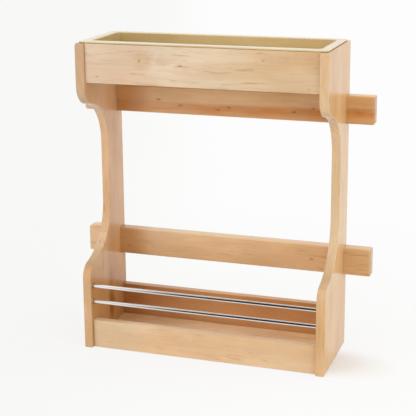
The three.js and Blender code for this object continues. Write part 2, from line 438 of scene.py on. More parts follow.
class Recipe:
    """The nodes of one material or of the sky, added and joined by short calls."""

    def __init__(self, owner: Union[bpy.types.Material, bpy.types.World]) -> None:
        """Starts with no nodes.

        Args:
            owner: What the nodes belong to.
        """
        owner.use_nodes = True
        self.owner = owner
        self.tree = owner.node_tree
        self.tree.nodes.clear()

    @classmethod
    def named(cls, name: str) -> "Recipe":
        """Starts a new material."""
        return cls(bpy.data.materials.new(name))

    def node(self, kind: str, **settings: object) -> bpy.types.Node:
        """Adds a node.

        Args:
            kind: Its type name.
            settings: Properties to set on it.

        Returns:
            The node.
        """
        made = self.tree.nodes.new(kind)
        for key, value in settings.items():
            setattr(made, key, value)
        return made

    def feed(self, socket: Socket, value: Value) -> None:
        """Links a socket to another, or sets its value.

        Args:
            socket: The input.
            value: An output to link, or a plain value.
        """
        if isinstance(value, bpy.types.NodeSocket):
            self.tree.links.new(value, socket)
        else:
            socket.default_value = value

    def number(self, operation: str, *values: Value, clamp: bool = False) -> Socket:
        """Works out one number from others.

        Args:
            operation: The Math node's operation.
            values: Its inputs.
            clamp: Whether the result stays between 0 and 1.

        Returns:
            The result.
        """
        made = self.node("ShaderNodeMath", operation=operation, use_clamp=clamp)
        for socket, value in zip(made.inputs, values):
            self.feed(socket, value)
        return made.outputs[0]

    def vector(self, operation: str, *values: Value) -> Socket:
        """Works out one vector from others.

        Args:
            operation: The Vector Math node's operation.
            values: Its inputs.

        Returns:
            The result, which is a number for lengths.
        """
        made = self.node("ShaderNodeVectorMath", operation=operation)
        for socket, value in zip(made.inputs, values):
            self.feed(socket, value)
        return made.outputs[1 if operation in ("LENGTH", "DISTANCE", "DOT_PRODUCT") else 0]

    def split(self, value: Value) -> tuple[Socket, Socket, Socket]:
        """The three parts of a vector."""
        made = self.node("ShaderNodeSeparateXYZ")
        self.feed(made.inputs[0], value)
        return tuple(made.outputs)

    def join(self, x: Value, y: Value, z: Value) -> Socket:
        """A vector from three numbers."""
        made = self.node("ShaderNodeCombineXYZ")
        for socket, value in zip(made.inputs, (x, y, z)):
            self.feed(socket, value)
        return made.outputs[0]

    def step(
        self, value: Value, low: float, high: float, start: float = 0.0, end: float = 1.0
    ) -> Socket:
        """A smooth step from start to end, as the value goes from low to high.

        Args:
            value: The value.
            low: Where the step starts.
            high: Where it ends.
            start: Result below low.
            end: Result above high.

        Returns:
            The result.
        """
        made = self.node("ShaderNodeMapRange", interpolation_type="SMOOTHSTEP")
        for socket, given in zip(made.inputs, (value, low, high, start, end)):
            self.feed(socket, given)
        return made.outputs[0]

    def noise(
        self,
        position: Socket,
        spread: Triple,
        seed: float,
        detail: float = 2.0,
        roughness: float = 0.5,
    ) -> bpy.types.Node:
        """Noise on a stretched position.

        Args:
            position: Where the noise is read.
            spread: How many features lie in a metre, along, across and through the grain.
            seed: Where in the noise the pattern lies.
            detail: Octaves of the noise.
            roughness: How strongly the finer octaves count.

        Returns:
            The noise node, whose first output is a number and the second a colour.
        """
        place = self.vector("MULTIPLY_ADD", position, spread, (seed, 1.7 * seed, 0.6 * seed))
        made = self.node("ShaderNodeTexNoise")
        self.feed(made.inputs["Vector"], place)
        made.inputs["Scale"].default_value = 1.0
        made.inputs["Detail"].default_value = detail
        made.inputs["Roughness"].default_value = roughness
        return made

    def blend(self, factor: Value, first: Value, second: Value, mode: str = "MIX") -> Socket:
        """Mixes two colours.

        Args:
            factor: Share of the second.
            first: First colour.
            second: Second colour.
            mode: How they mix.

        Returns:
            The mixed colour.
        """
        made = self.node("ShaderNodeMix", data_type="RGBA", blend_type=mode)
        self.feed(made.inputs[0], factor)
        for socket, value in zip((made.inputs[6], made.inputs[7]), (first, second)):
            self.feed(socket, value if isinstance(value, bpy.types.NodeSocket) else (*value, 1.0))
        return made.outputs[2]

    def tint(self, share: Value, colour: Socket, shade: Value) -> Socket:
        """Multiplies a colour by a shade, as far as a share says.

        Args:
            share: How much of the change shows.
            colour: The colour so far.
            shade: What it is multiplied by.

        Returns:
            The tinted colour.
        """
        return self.blend(share, colour, self.blend(1.0, colour, shade, "MULTIPLY"))

    def bump(self, height: Socket, strength: float, distance: float) -> Socket:
        """A normal bent by a height.

        Args:
            height: The height.
            strength: Share of the full effect.
            distance: Depth that a height of 1 stands for.

        Returns:
            The bent normal.
        """
        made = self.node("ShaderNodeBump")
        made.inputs["Strength"].default_value = strength
        made.inputs["Distance"].default_value = distance
        self.feed(made.inputs["Height"], height)
        return made.outputs[0]

    def principled(self, **inputs: Value) -> bpy.types.Material:
        """Ends the material in one shader.

        Args:
            inputs: Inputs of the shader, with underscores for the spaces of their names.

        Returns:
            The finished material.
        """
        shader = self.node("ShaderNodeBsdfPrincipled")
        for key, value in inputs.items():
            self.feed(shader.inputs[key.replace("_", " ")], value)
        output = self.node("ShaderNodeOutputMaterial")
        self.tree.links.new(shader.outputs[0], output.inputs[0])
        return self.owner


@dataclass(frozen=True)
class PinKnot:
    """A small knot: its place along and across the face, its radius and how far the rings bend.

    A knot with a place through the face is a ball there, and any other runs right through.
    """

    along: float
    across: float
    radius: float = 0.0012
    swirl: float = 0.010
    depth: float = 0.6
    through: Optional[float] = None


@dataclass(frozen=True)
class Patch:
    """A soft-edged oval, darker, yellower or paler: its place, length, width and shade. Most are
    wood figure, and a few are painted shade and painted light.
    """

    along: float
    across: float
    length: float
    width: float
    shade: Colour


@dataclass(frozen=True)
class Dash:
    """A short dark streak: its place, length, slope across the grain and strength."""

    along: float
    across: float
    length: float = 0.007
    slope: float = 0.0
    strength: float = 0.5
    through: Optional[float] = None


@dataclass(frozen=True)
class Drift:
    """A slow change of colour along the grain, from where it starts to where it is complete. Some
    stand for the wood's own tone, and others are painted shade and painted light.

    One with a far edge has the wood's own tone again beyond it. One that is turned shows only on
    the faces turned right or back, and one that isn't only on the others.
    """

    start: float
    end: float
    shade: Colour
    edge: Optional[float] = None
    turned: Optional[bool] = None


@dataclass(frozen=True)
class Heartwood:
    """A darker band of heartwood below a wavy line, faint up to one place and whole at another."""

    edge: float
    wave: float
    strength: float
    lean: float = 0.0
    faint: float = -1.0
    whole: float = -0.9


class Figure(Enum):
    """The noises in maple.

    Each has its features in a metre along and across the grain, how far its seed lies from the
    piece's own, its octaves, and how strongly the finer octaves count.
    """

    RING_BEND = (3.4, 14.0, 0.0, 2.5, 0.5)
    RING_GAPS = (9.0, 46.0, 3.1, 2.0, 0.5)
    BROAD_TONE = (7.0, 20.0, 7.0, 2.5, 0.5)
    CLOUD = (15.0, 34.0, 11.0, 2.0, 0.5)
    FIBRE = (8.0, 430.0, 13.0, 3.0, 0.6)
    FLECKS = (75.0, 900.0, 17.0, 1.0, 0.5)
    STREAKS = (22.0, 230.0, 19.0, 2.0, 0.5)
    STREAK_PLACES = (9.0, 30.0, 23.0, 1.0, 0.5)
    RIPPLE = (60.0, 60.0, 29.0, 2.0, 0.5)
    BAND_WAVE = (8.0, 9.0, 31.0, 2.0, 0.5)
    BAND_DEPTH = (12.0, 60.0, 37.0, 2.0, 0.5)
    MARK_WARP = (30.0, 55.0, 41.0, 2.5, 0.5)


@dataclass(frozen=True)
class MapleFinish:
    """Clear-lacquered maple, as a block of growth rings that every face cuts through.

    Shades multiply the colour: face_shade is painted shade where a face is turned right or back,
    top_shade is painted light where it is turned up, end_shade darkens where it cuts the fibres,
    stave_shade tones the plank behind the glue line, and mouth_painted_shadow is a painted shadow
    in a ring round each mouth that a rod enters. Drifts and patches are partly the wood's own tone
    and partly painted shade and painted light.
    """

    name: str
    grain: Grain
    pale: Colour
    tan: Colour
    seed: float
    pith_across: float
    pith_through: float
    tilt: float = 0.012
    ring_pitch: float = 0.0058
    ring_strength: float = 0.16
    streak_strength: float = 0.45
    fibre_strength: float = 0.24
    brown: Colour = srgb(178, 122, 76)
    heart: Colour = srgb(206, 146, 92)
    knot_colour: Colour = srgb(112, 56, 22)
    end_shade: float = 0.80
    face_shade: Colour = (1.0, 1.0, 1.0)
    top_shade: Optional[Colour] = None
    glue_line: Optional[float] = None
    glue_top: float = 1.0
    stave_shade: Colour = (1.0, 1.0, 1.0)
    knots: tuple[PinKnot, ...] = ()
    patches: tuple[Patch, ...] = ()
    dashes: tuple[Dash, ...] = ()
    drifts: tuple[Drift, ...] = ()
    heartwood: Optional[Heartwood] = None
    mouths: tuple[Triple, ...] = ()
    mouth_painted_shadow: Colour = (0.35, 0.32, 0.28)
    mouth_reach: tuple[float, float] = (0.0007, 0.0019)
    roughness: float = 0.45
    under_coat: float = 0.3
    coat: float = 0.65
    coat_roughness: float = 0.13
    stave_start: ClassVar[float] = 3.7
    stave_depth: ClassVar[float] = 0.045
    ring_sway: ClassVar[float] = 0.034
    fibre_sway: ClassVar[float] = 0.024
    dash_width: ClassVar[float] = 0.0007
    dash_edge: ClassVar[float] = 0.0009
    glue_width: ClassVar[float] = 0.0005
    pore_bump: ClassVar[tuple[float, float]] = (0.35, 0.00006)
    ripple_bump: ClassVar[tuple[float, float]] = (0.25, 0.00012)
    ior: ClassVar[float] = 1.5

    def figure(self, recipe: Recipe, place: Socket, kind: Figure) -> tuple[Socket, Socket]:
        """One of the wood's noises.

        Args:
            recipe: The material.
            place: Where it is read.
            kind: Which noise.

        Returns:
            The noise as a number and as a colour.
        """
        along, across, shift, detail, roughness = kind.value
        spread = (along, across, across)
        made = recipe.noise(place, spread, self.seed + shift, detail, roughness)
        return made.outputs[0], made.outputs[1]

    def place(self, recipe: Recipe) -> tuple[Socket, Socket, Socket, Socket]:
        """Turns places on the piece into places on its plank.

        Args:
            recipe: The material.

        Returns:
            The place along, across and through the grain, the share of the second stave there,
            how squarely the surface cuts the fibres, and how far it faces right or back.
        """
        source = recipe.node("ShaderNodeTexCoord")
        x, y, z = recipe.split(source.outputs["Object"])
        normal = recipe.split(source.outputs["Normal"])
        upright = self.grain is Grain.UPRIGHT
        along, across, through = (z, y, x) if upright else (x, z, y)
        square = recipe.number("ABSOLUTE", normal[2] if upright else normal[0])
        facing = normal[0] if upright else normal[1]
        if self.glue_line is None:
            none = recipe.number("MULTIPLY", along, 0.0)
            return recipe.join(along, across, through), none, square, facing
        stave = recipe.number("GREATER_THAN", across, self.glue_line)
        along = recipe.number("MULTIPLY_ADD", stave, self.stave_start, along)
        through = recipe.number("MULTIPLY_ADD", stave, self.stave_depth, through)
        return recipe.join(along, across, through), stave, square, facing

    def rings(self, recipe: Recipe, plank: Socket) -> Socket:
        """The dark late wood of each year.

        A year's edge lies where the distance from the pith, bent by slow noise and swollen round
        each knot, is a whole number of ring pitches.

        Args:
            recipe: The material.
            plank: Place on the plank.

        Returns:
            Share of late wood.
        """
        slow = self.figure(recipe, plank, Figure.RING_BEND)[1]
        bend = recipe.vector("SUBTRACT", slow, NOISE_MIDDLE)
        bent = recipe.vector("MULTIPLY_ADD", bend, (0.0, self.ring_sway, self.ring_sway), plank)
        along, across, through = recipe.split(bent)
        leaning = recipe.number("MULTIPLY_ADD", along, self.tilt, across)
        from_pith = recipe.join(
            0.0,
            recipe.number("SUBTRACT", leaning, self.pith_across),
            recipe.number("SUBTRACT", through, self.pith_through),
        )
        distance = recipe.vector("LENGTH", from_pith)
        for knot in self.knots:
            near = self.away(recipe, plank, knot, 0.6)
            swelling = recipe.step(near, 0.0, knot.swirl, 0.45 * knot.swirl, 0.0)
            distance = recipe.number("ADD", distance, swelling)
        year = recipe.number("FRACT", recipe.number("DIVIDE", distance, self.ring_pitch))
        rise = recipe.step(year, 0.25, 0.90)
        fall = recipe.step(year, 0.90, 1.0, 1.0, 0.0)
        late = recipe.number("MULTIPLY", rise, fall)
        patchy = self.figure(recipe, plank, Figure.RING_GAPS)[0]
        return recipe.number("MULTIPLY", late, recipe.step(patchy, 0.42, 0.72))

    def away(
        self,
        recipe: Recipe,
        plank: Socket,
        mark: Union[PinKnot, Dash],
        squash: float,
        slope: float = 0.0,
    ) -> Socket:
        """Distance from the middle of a mark, shorter along the grain.

        Args:
            recipe: The material.
            plank: Place on the plank.
            mark: The mark.
            squash: What lengths along the grain count as.
            slope: How far the long axis leans across the grain.

        Returns:
            The distance.
        """
        centre = (mark.along, mark.across, mark.through or 0.0)
        offset = recipe.vector("SUBTRACT", plank, centre)
        if slope:
            run, rise, deep = recipe.split(offset)
            offset = recipe.join(run, recipe.number("MULTIPLY_ADD", run, -slope, rise), deep)
        weights = (squash, 1.0, 0.0 if mark.through is None else 1.0)
        return recipe.vector("LENGTH", recipe.vector("MULTIPLY", offset, weights))

    def material(self) -> bpy.types.Material:
        """Builds the material.

        Returns:
            The finished material.
        """
        recipe = Recipe.named(self.name)
        plank, stave, square, facing = self.place(recipe)
        broad, slow = self.figure(recipe, plank, Figure.BROAD_TONE)
        sway = recipe.vector("SUBTRACT", slow, NOISE_MIDDLE)
        sways = (0.0, self.fibre_sway, self.fibre_sway)
        swayed = recipe.vector("MULTIPLY_ADD", sway, sways, plank)
        cloud = self.figure(recipe, plank, Figure.CLOUD)[0]
        fibre = self.figure(recipe, swayed, Figure.FIBRE)[0]
        flecks = self.figure(recipe, swayed, Figure.FLECKS)[0]
        streak = self.figure(recipe, swayed, Figure.STREAKS)[0]
        where = self.figure(recipe, plank, Figure.STREAK_PLACES)[0]

        colour = recipe.blend(recipe.step(broad, 0.30, 0.70, 0.05, 0.95), self.pale, self.tan)
        late = recipe.number("MULTIPLY", self.rings(recipe, plank), self.ring_strength)
        colour = recipe.blend(late, colour, self.brown)
        if self.heartwood is not None:
            colour = self.banded(recipe, plank, self.heartwood, colour)
        marks = recipe.number(
            "MULTIPLY", recipe.step(streak, 0.55, 0.74), recipe.step(where, 0.44, 0.60)
        )
        marks = recipe.number("MULTIPLY", marks, self.streak_strength)
        colour = recipe.blend(marks, colour, self.brown)
        dots = recipe.step(flecks, 0.64, 0.78, 0.0, 0.3)
        colour = recipe.blend(dots, colour, self.brown)
        light = recipe.number("MULTIPLY_ADD", cloud, 0.24, 0.88)
        weave = recipe.number(
            "MULTIPLY_ADD", fibre, self.fibre_strength, 1 - self.fibre_strength / 2
        )
        light = recipe.number("MULTIPLY", light, weave)
        ends = recipe.step(square, 0.45, 0.98, 1.0, self.end_shade)
        light = recipe.number("MULTIPLY", light, ends)
        colour = recipe.blend(1.0, colour, recipe.join(light, light, light), "MULTIPLY")
        colour = recipe.tint(stave, colour, self.stave_shade)
        # Painted shade: faces turned right or back are toned for how the light falls on them.
        turned = recipe.step(facing, *TURN_STEP)
        colour = recipe.tint(turned, colour, self.face_shade)
        # Painted light: faces turned up are made lighter, as the light from above falls on them.
        if self.top_shade is not None:
            rising = recipe.split(recipe.node("ShaderNodeTexCoord").outputs["Normal"])[2]
            colour = recipe.tint(recipe.step(rising, *TURN_STEP), colour, self.top_shade)
        along = recipe.number("MULTIPLY_ADD", stave, -self.stave_start, recipe.split(plank)[0])
        # Drifts: some are the wood's own tone, and others are painted shade and light, such as the
        # left panel's shadow on the rails' left ends.
        for drift in self.drifts:
            share = recipe.step(along, drift.start, drift.end)
            if drift.edge is not None:
                beyond = drift.edge + math.copysign(0.003, drift.end - drift.start)
                within = recipe.step(along, drift.edge, beyond, 1.0, 0.0)
                share = recipe.number("MULTIPLY", share, within)
            if drift.turned is not None:
                others = recipe.number("SUBTRACT", 1.0, turned)
                share = recipe.number("MULTIPLY", share, turned if drift.turned else others)
            colour = recipe.tint(share, colour, drift.shade)
        colour = self.marked(recipe, plank, colour)

        pores = recipe.number("MULTIPLY_ADD", dots, -1.6, fibre)
        ripple = self.figure(recipe, plank, Figure.RIPPLE)[0]
        return recipe.principled(
            Base_Color=colour,
            Roughness=self.roughness,
            IOR=self.ior,
            Specular_IOR_Level=self.under_coat,
            Coat_Weight=self.coat,
            Coat_Roughness=self.coat_roughness,
            Coat_IOR=self.ior,
            Normal=recipe.bump(pores, *self.pore_bump),
            Coat_Normal=recipe.bump(ripple, *self.ripple_bump),
        )

    def banded(self, recipe: Recipe, plank: Socket, band: Heartwood, colour: Socket) -> Socket:
        """Lays a band of heartwood over a colour.

        Args:
            recipe: The material.
            plank: Place on the plank.
            band: The band.
            colour: The colour so far.

        Returns:
            The colour with the band.
        """
        along, across, _ = recipe.split(plank)
        wave = self.figure(recipe, plank, Figure.BAND_WAVE)[0]
        edge = recipe.number("MULTIPLY_ADD", wave, band.wave, band.edge - band.wave / 2)
        edge = recipe.number("MULTIPLY_ADD", along, band.lean, edge)
        below = recipe.number("SUBTRACT", edge, across)
        patch = self.figure(recipe, plank, Figure.BAND_DEPTH)[0]
        depth = recipe.step(patch, 0.38, 0.68, band.strength, 0.65 * band.strength)
        inside = recipe.number("MULTIPLY", recipe.step(below, -0.0010, 0.0030), depth)
        whole = recipe.step(along, band.faint, band.whole, 0.25, 1.0)
        inside = recipe.number("MULTIPLY", inside, whole)
        inside = recipe.number("MULTIPLY", inside, recipe.step(below, 0.007, 0.016, 1.0, 0.6))
        rim = recipe.step(recipe.number("ABSOLUTE", below), 0.0, 0.0020, 0.3 * band.strength, 0.0)
        colour = recipe.blend(inside, colour, self.heart)
        return recipe.blend(rim, colour, self.brown)

    def marked(self, recipe: Recipe, plank: Socket, colour: Socket) -> Socket:
        """Draws the patches, the streaks, the pin knots, the painted shadow round the rods' mouths
        and the glue line.

        Args:
            recipe: The material.
            plank: Place on the plank.
            colour: The colour so far.

        Returns:
            The colour with the marks.
        """
        warp = self.figure(recipe, plank, Figure.MARK_WARP)[1]
        bend = recipe.vector("SUBTRACT", warp, NOISE_MIDDLE)
        bent = recipe.vector("MULTIPLY_ADD", bend, (0.010, 0.007, 0.0), plank)
        twisted = recipe.vector("MULTIPLY_ADD", bend, (0.026, 0.020, 0.0), plank)
        for patch in self.patches:
            offset = recipe.vector("SUBTRACT", twisted, (patch.along, patch.across, 0.0))
            weights = (2 / patch.length, 2 / patch.width, 0.0)
            near = recipe.vector("LENGTH", recipe.vector("MULTIPLY", offset, weights))
            colour = recipe.tint(recipe.step(near, 0.25, 1.0, 1.0, 0.0), colour, patch.shade)
        for dash in self.dashes:
            squash = self.dash_width / (dash.length / 2)
            near = self.away(recipe, bent, dash, squash, dash.slope)
            share = recipe.step(near, 0.0, self.dash_edge, dash.strength, 0.0)
            colour = recipe.blend(share, colour, self.brown)
        for knot in self.knots:
            near = self.away(recipe, bent, knot, 0.55)
            halo = recipe.step(near, knot.radius, 2.6 * knot.radius, 0.3 * knot.depth, 0.0)
            colour = recipe.blend(halo, colour, self.brown)
            core = recipe.step(near, 0.0, 1.2 * knot.radius, knot.depth, 0.0)
            colour = recipe.blend(core, colour, self.knot_colour)
        # Painted shadow: a dark ring round each rod's mouth, where the socket lies in shade.
        rim, reach = (GuardRods.diameter / 2 + part for part in self.mouth_reach)
        for mouth in self.mouths:
            near = recipe.vector("LENGTH", recipe.vector("SUBTRACT", plank, mouth))
            colour = recipe.tint(recipe.step(near, rim, reach, 1.0, 0.0), colour, self.mouth_painted_shadow)
        if self.glue_line is not None:
            along, across, _ = recipe.split(plank)
            off = recipe.number("ABSOLUTE", recipe.number("SUBTRACT", across, self.glue_line))
            low = recipe.step(along, 0.8 * self.glue_top, self.glue_top, 1.0, 0.0)
            line = recipe.step(off, 0.0, self.glue_width, 0.4, 0.0)
            colour = recipe.blend(recipe.number("MULTIPLY", line, low), colour, self.brown)
        return colour


@dataclass(frozen=True)
class BirchFinish:
    """Bare turned birch of the dowels."""

    name: str = "birch_dowel"
    colour: Colour = srgb(219, 184, 141)
    dark: Colour = srgb(188, 146, 101)

    def material(self) -> bpy.types.Material:
        """Builds the material.

        Returns:
            The finished material.
        """
        recipe = Recipe.named(self.name)
        place = recipe.node("ShaderNodeTexCoord").outputs["Object"]
        fibre = recipe.noise(place, (40.0, 900.0, 900.0), 2.0, 3.0).outputs[0]
        colour = recipe.blend(recipe.step(fibre, 0.3, 0.75), self.colour, self.dark)
        return recipe.principled(
            Base_Color=colour, Roughness=0.72, IOR=1.5, Normal=recipe.bump(fibre, 0.4, 0.0001)
        )


@dataclass(frozen=True)
class ChromeFinish:
    """Bright chromed steel of the guard rods, with faint draw lines."""

    name: str = "bright_chrome"
    colour: Colour = (0.88, 0.89, 0.90)
    dim: Colour = (0.83, 0.84, 0.86)
    roughness: float = 0.045

    def material(self) -> bpy.types.Material:
        """Builds the material.

        Returns:
            The finished material.
        """
        recipe = Recipe.named(self.name)
        place = recipe.node("ShaderNodeTexCoord").outputs["Object"]
        lines = recipe.noise(place, (12.0, 2600.0, 2600.0), 5.0, 2.0).outputs[0]
        smear = recipe.noise(place, (45.0, 300.0, 300.0), 9.0, 2.0).outputs[0]
        haze = recipe.number("MULTIPLY_ADD", smear, 0.05, self.roughness)
        shade = recipe.blend(recipe.step(smear, 0.35, 0.8), self.colour, self.dim)
        return recipe.principled(
            Base_Color=shade, Metallic=1.0, Roughness=haze, Normal=recipe.bump(lines, 0.03, 0.00001)
        )


@dataclass(frozen=True)
class ZincFinish:
    """Bright zinc plate of the rail screws."""

    name: str = "zinc_plate"
    colour: Colour = (0.62, 0.63, 0.64)
    warm: Colour = (0.60, 0.56, 0.47)

    def material(self) -> bpy.types.Material:
        """Builds the material.

        Returns:
            The finished material.
        """
        recipe = Recipe.named(self.name)
        place = recipe.node("ShaderNodeTexCoord").outputs["Object"]
        bloom = recipe.noise(place, (420.0, 420.0, 420.0), 1.0, 3.0).outputs[0]
        grit = recipe.noise(place, (5000.0, 5000.0, 5000.0), 4.0, 2.0).outputs[0]
        colour = recipe.blend(recipe.step(bloom, 0.4, 0.75), self.colour, self.warm)
        return recipe.principled(
            Base_Color=colour,
            Metallic=1.0,
            Roughness=recipe.number("MULTIPLY_ADD", bloom, 0.2, 0.22),
            Normal=recipe.bump(grit, 0.25, 0.00002),
        )


@dataclass(frozen=True)
class AlmondPolymer:
    """Moulded almond polymer of the bin: a soft sheen over a very fine grain.

    Its upright walls carry painted shade and light along wall_span: wall_painted_shade_left darkens
    them where the left wall shades them, and wall_painted_light_right lightens them for the light
    bounced round inside. A face counts as upright by how little its normal rises, between the two
    values of wall_rise.
    """

    name: str = "almond_polymer"
    colour: Colour = srgb(209, 185, 133)
    deep: Colour = srgb(201, 174, 120)
    wall_painted_shade_left: Colour = (0.93, 0.95, 1.0)
    wall_painted_light_right: Colour = (1.16, 1.18, 1.28)
    wall_span: tuple[float, float] = (-0.15, 0.09)
    wall_rise: tuple[float, float] = (0.2, 0.6)
    glow_depths: Triple = (0.004, 0.003, 0.0015)

    def material(self) -> bpy.types.Material:
        """Builds the material.

        Returns:
            The finished material.
        """
        recipe = Recipe.named(self.name)
        source = recipe.node("ShaderNodeTexCoord").outputs
        place = source["Object"]
        flow = recipe.noise(place, (9.0, 16.0, 30.0), 3.0, 2.0).outputs[0]
        grain = recipe.noise(place, (2600.0, 2600.0, 2600.0), 6.0, 2.0).outputs[0]
        colour = recipe.blend(recipe.step(flow, 0.3, 0.7), self.colour, self.deep)
        # Painted shade and light on the upright walls: darker at the left, lighter towards the
        # right.
        aside = recipe.step(recipe.split(place)[0], *self.wall_span)
        tone = recipe.blend(aside, self.wall_painted_shade_left, self.wall_painted_light_right)
        wall = recipe.step(recipe.split(source["Normal"])[2], *self.wall_rise, 1.0, 0.0)
        colour = recipe.tint(wall, colour, tone)
        return recipe.principled(
            Base_Color=colour,
            Roughness=recipe.number("MULTIPLY_ADD", grain, 0.08, 0.22),
            IOR=1.49,
            Coat_Weight=0.7,
            Coat_Roughness=0.06,
            Subsurface_Weight=0.06,
            Subsurface_Radius=self.glow_depths,
            Subsurface_Scale=1.0,
            Normal=recipe.bump(grain, 0.2, 0.00003),
        )


# Sub-assemblies


@dataclass
class SidePanels:
    """The two side panels, sawn to an ogee above and below a narrow waist."""

    ease: float = 0.0012
    top_corner: float = 0.004
    waist_depth: float = 0.0525
    upper_nose_start: float = 0.391
    upper_nose_radius: float = 0.030
    upper_cove_radius: float = 0.065
    lower_nose_start: float = 0.105
    lower_nose_radius: float = 0.024
    lower_cove_radius: float = 0.080
    rod_socket_depth: float = 0.008
    curve_steps: int = 40
    corner_steps: int = 8
    ease_steps: int = 5
    socket_sides: int = 48

    def ogee(
        self, depth: float, start: float, nose: float, cove: float, side: int
    ) -> tuple[Sequence[float], Sequence[float], float]:
        """Where the two arcs of an ogee lie.

        The nose is convex and leaves the front edge at start. The cove is concave and touches the
        nose and the waist, so the centres lie the sum of the two radii apart.

        Args:
            depth: Depth of the panel.
            start: Height where the nose leaves the front edge.
            nose: Radius of the nose.
            cove: Radius of the cove.
            side: 1 for a sweep above the waist and -1 for one below.

        Returns:
            Centre of the nose, centre of the cove, and the angle from the one to the other.
        """
        waist = depth - self.waist_depth
        across = waist - cove - nose
        rise = math.sqrt((nose + cove) ** 2 - across**2)
        nose_centre = (nose, start)
        cove_centre = (waist - cove, start - side * rise)
        return nose_centre, cove_centre, math.atan2(-side * rise, across)

    def outline(self, extent: Extent) -> np.ndarray:
        """The panel's outline, as depth behind the front edge and height.

        Args:
            extent: Extent of the panel.

        Returns:
            The counter-clockwise outline, one point a row.
        """
        depth = extent.size.y
        height = extent.high.z
        upper = self.ogee(
            depth, self.upper_nose_start, self.upper_nose_radius, self.upper_cove_radius, 1
        )
        lower = self.ogee(
            depth, self.lower_nose_start, self.lower_nose_radius, self.lower_cove_radius, -1
        )
        steps = self.curve_steps
        corner = (self.top_corner, height - self.top_corner)
        parts = (
            np.array(((0.0, 0.0), (depth, 0.0), (depth, height))),
            arc(corner, self.top_corner, QUARTER_TURN, HALF_TURN, self.corner_steps),
            arc(upper[0], self.upper_nose_radius, HALF_TURN, FULL_TURN + upper[2], steps),
            arc(upper[1], self.upper_cove_radius, HALF_TURN + upper[2], 0.0, steps),
            arc(lower[1], self.lower_cove_radius, 0.0, lower[2] - HALF_TURN, steps),
            arc(lower[0], self.lower_nose_radius, lower[2], HALF_TURN, steps),
        )
        return distinct(np.concatenate(parts))

    def cutters(self, side: Side, extent: Extent) -> list[np.ndarray]:
        """What is taken out of a panel: the rail notches and the holes for rods, dowels and screws.

        Args:
            side: Which panel.
            extent: Extent of the panel.

        Returns:
            The rings of each cutter.
        """
        inner = extent.low.x if side is Side.RIGHT else extent.high.x
        made = []
        for rail in MountingRails.levels:
            seat = Extent.of(f"{rail}_mounting_rail")
            low = (extent.low.x - OVERRUN, seat.low.y - FIT_GAP, seat.low.z - FIT_GAP)
            high = (extent.high.x + OVERRUN, seat.high.y + OVERRUN, seat.high.z + FIT_GAP)
            made.append(box_rings(low, high))
            made.append(RailScrews().hole(rail, side))
        for rod in GuardRods.levels:
            bar = Extent.of(f"{rod}_rod")
            mouth = inner - side.value * OVERRUN
            bottom = inner + side.value * self.rod_socket_depth
            radius = GuardRods.diameter / 2 + FIT_GAP
            place = (bar.middle.y, bar.middle.z)
            made.append(bar_rings(mouth, bottom, radius, self.socket_sides, *place))
        made.extend(Dowels().holes(side))
        return made

    def build(self, finishes: dict[Side, MapleFinish]) -> None:
        """Makes both panels.

        Args:
            finishes: The maple of each panel.
        """
        for side in Side:
            node = f"{side.word}_side_panel"
            extent = Extent.of(node)
            outline = self.outline(extent)
            rings, places = eased_rings(
                outline, extent.low.x, extent.high.x, self.ease, self.ease_steps
            )
            rings = rings + (extent.low.y, 0.0)
            panel = place_piece(
                f"ogee_panel_{side.word}",
                stand_rings(rings, places, (1, 2, 0)),
                self.cutters(side, extent),
            )
            enrol(panel, node, RACK_BODY, finishes[side].material())


@dataclass
class CrossBoards:
    """The boards that run from panel to panel: the top frame's, the tray's and the tray floor."""

    ease: float = 0.001
    end_ease: float = 0.0002
    ease_steps: int = 5
    end_steps: int = 2
    nodes: tuple[str, ...] = (
        "upper_front_board",
        "upper_back_board",
        "lower_front_board",
        "lower_back_board",
        "tray_floor",
    )

    def build(self, finishes: dict[str, MapleFinish]) -> None:
        """Makes every board.

        Args:
            finishes: The maple of each board.
        """
        for node in self.nodes:
            extent = Extent.of(node)
            section = rounded_rectangle(
                (extent.low.y, extent.low.z),
                (extent.high.y, extent.high.z),
                (self.ease,) * 4,
                self.ease_steps,
            )
            rings, places = eased_rings(
                section, extent.low.x, extent.high.x, self.end_ease, self.end_steps
            )
            holes = [hole for side in Side for hole in Dowels().holes(side, node)]
            name = f"{node}_planed"
            board = place_piece(name, stand_rings(rings, places, (1, 2, 0)), holes)
            enrol(board, node, RACK_BODY, finishes[node].material())


@dataclass
class MountingRails:
    """The two rails that are screwed to the cabinet door, let into the panels' back edges."""

    ease: float = 0.0025
    ease_steps: int = 6
    corner_steps: int = 10
    corner_radii: tuple[float, ...] = (0.0035, 0.0026, 0.0026, 0.0045)
    levels: ClassVar[tuple[str, ...]] = ("upper", "lower")

    def build(self, finishes: dict[str, MapleFinish]) -> None:
        """Makes both rails.

        Args:
            finishes: The maple of each rail.
        """
        for level in self.levels:
            node = f"{level}_mounting_rail"
            extent = Extent.of(node)
            low = (extent.low.x, extent.low.z)
            high = (extent.high.x, extent.high.z)
            outline = rounded_rectangle(low, high, self.corner_radii, self.corner_steps)
            rings, places = eased_rings(
                outline, extent.low.y, extent.high.y, self.ease, self.ease_steps
            )
            holes = [RailScrews().hole(level, side) for side in Side]
            name = f"{level}_rail_rounded"
            rail = place_piece(name, stand_rings(rings, places, (0, 2, 1)), holes)
            enrol(rail, node, RACK_BODY, finishes[level].material())


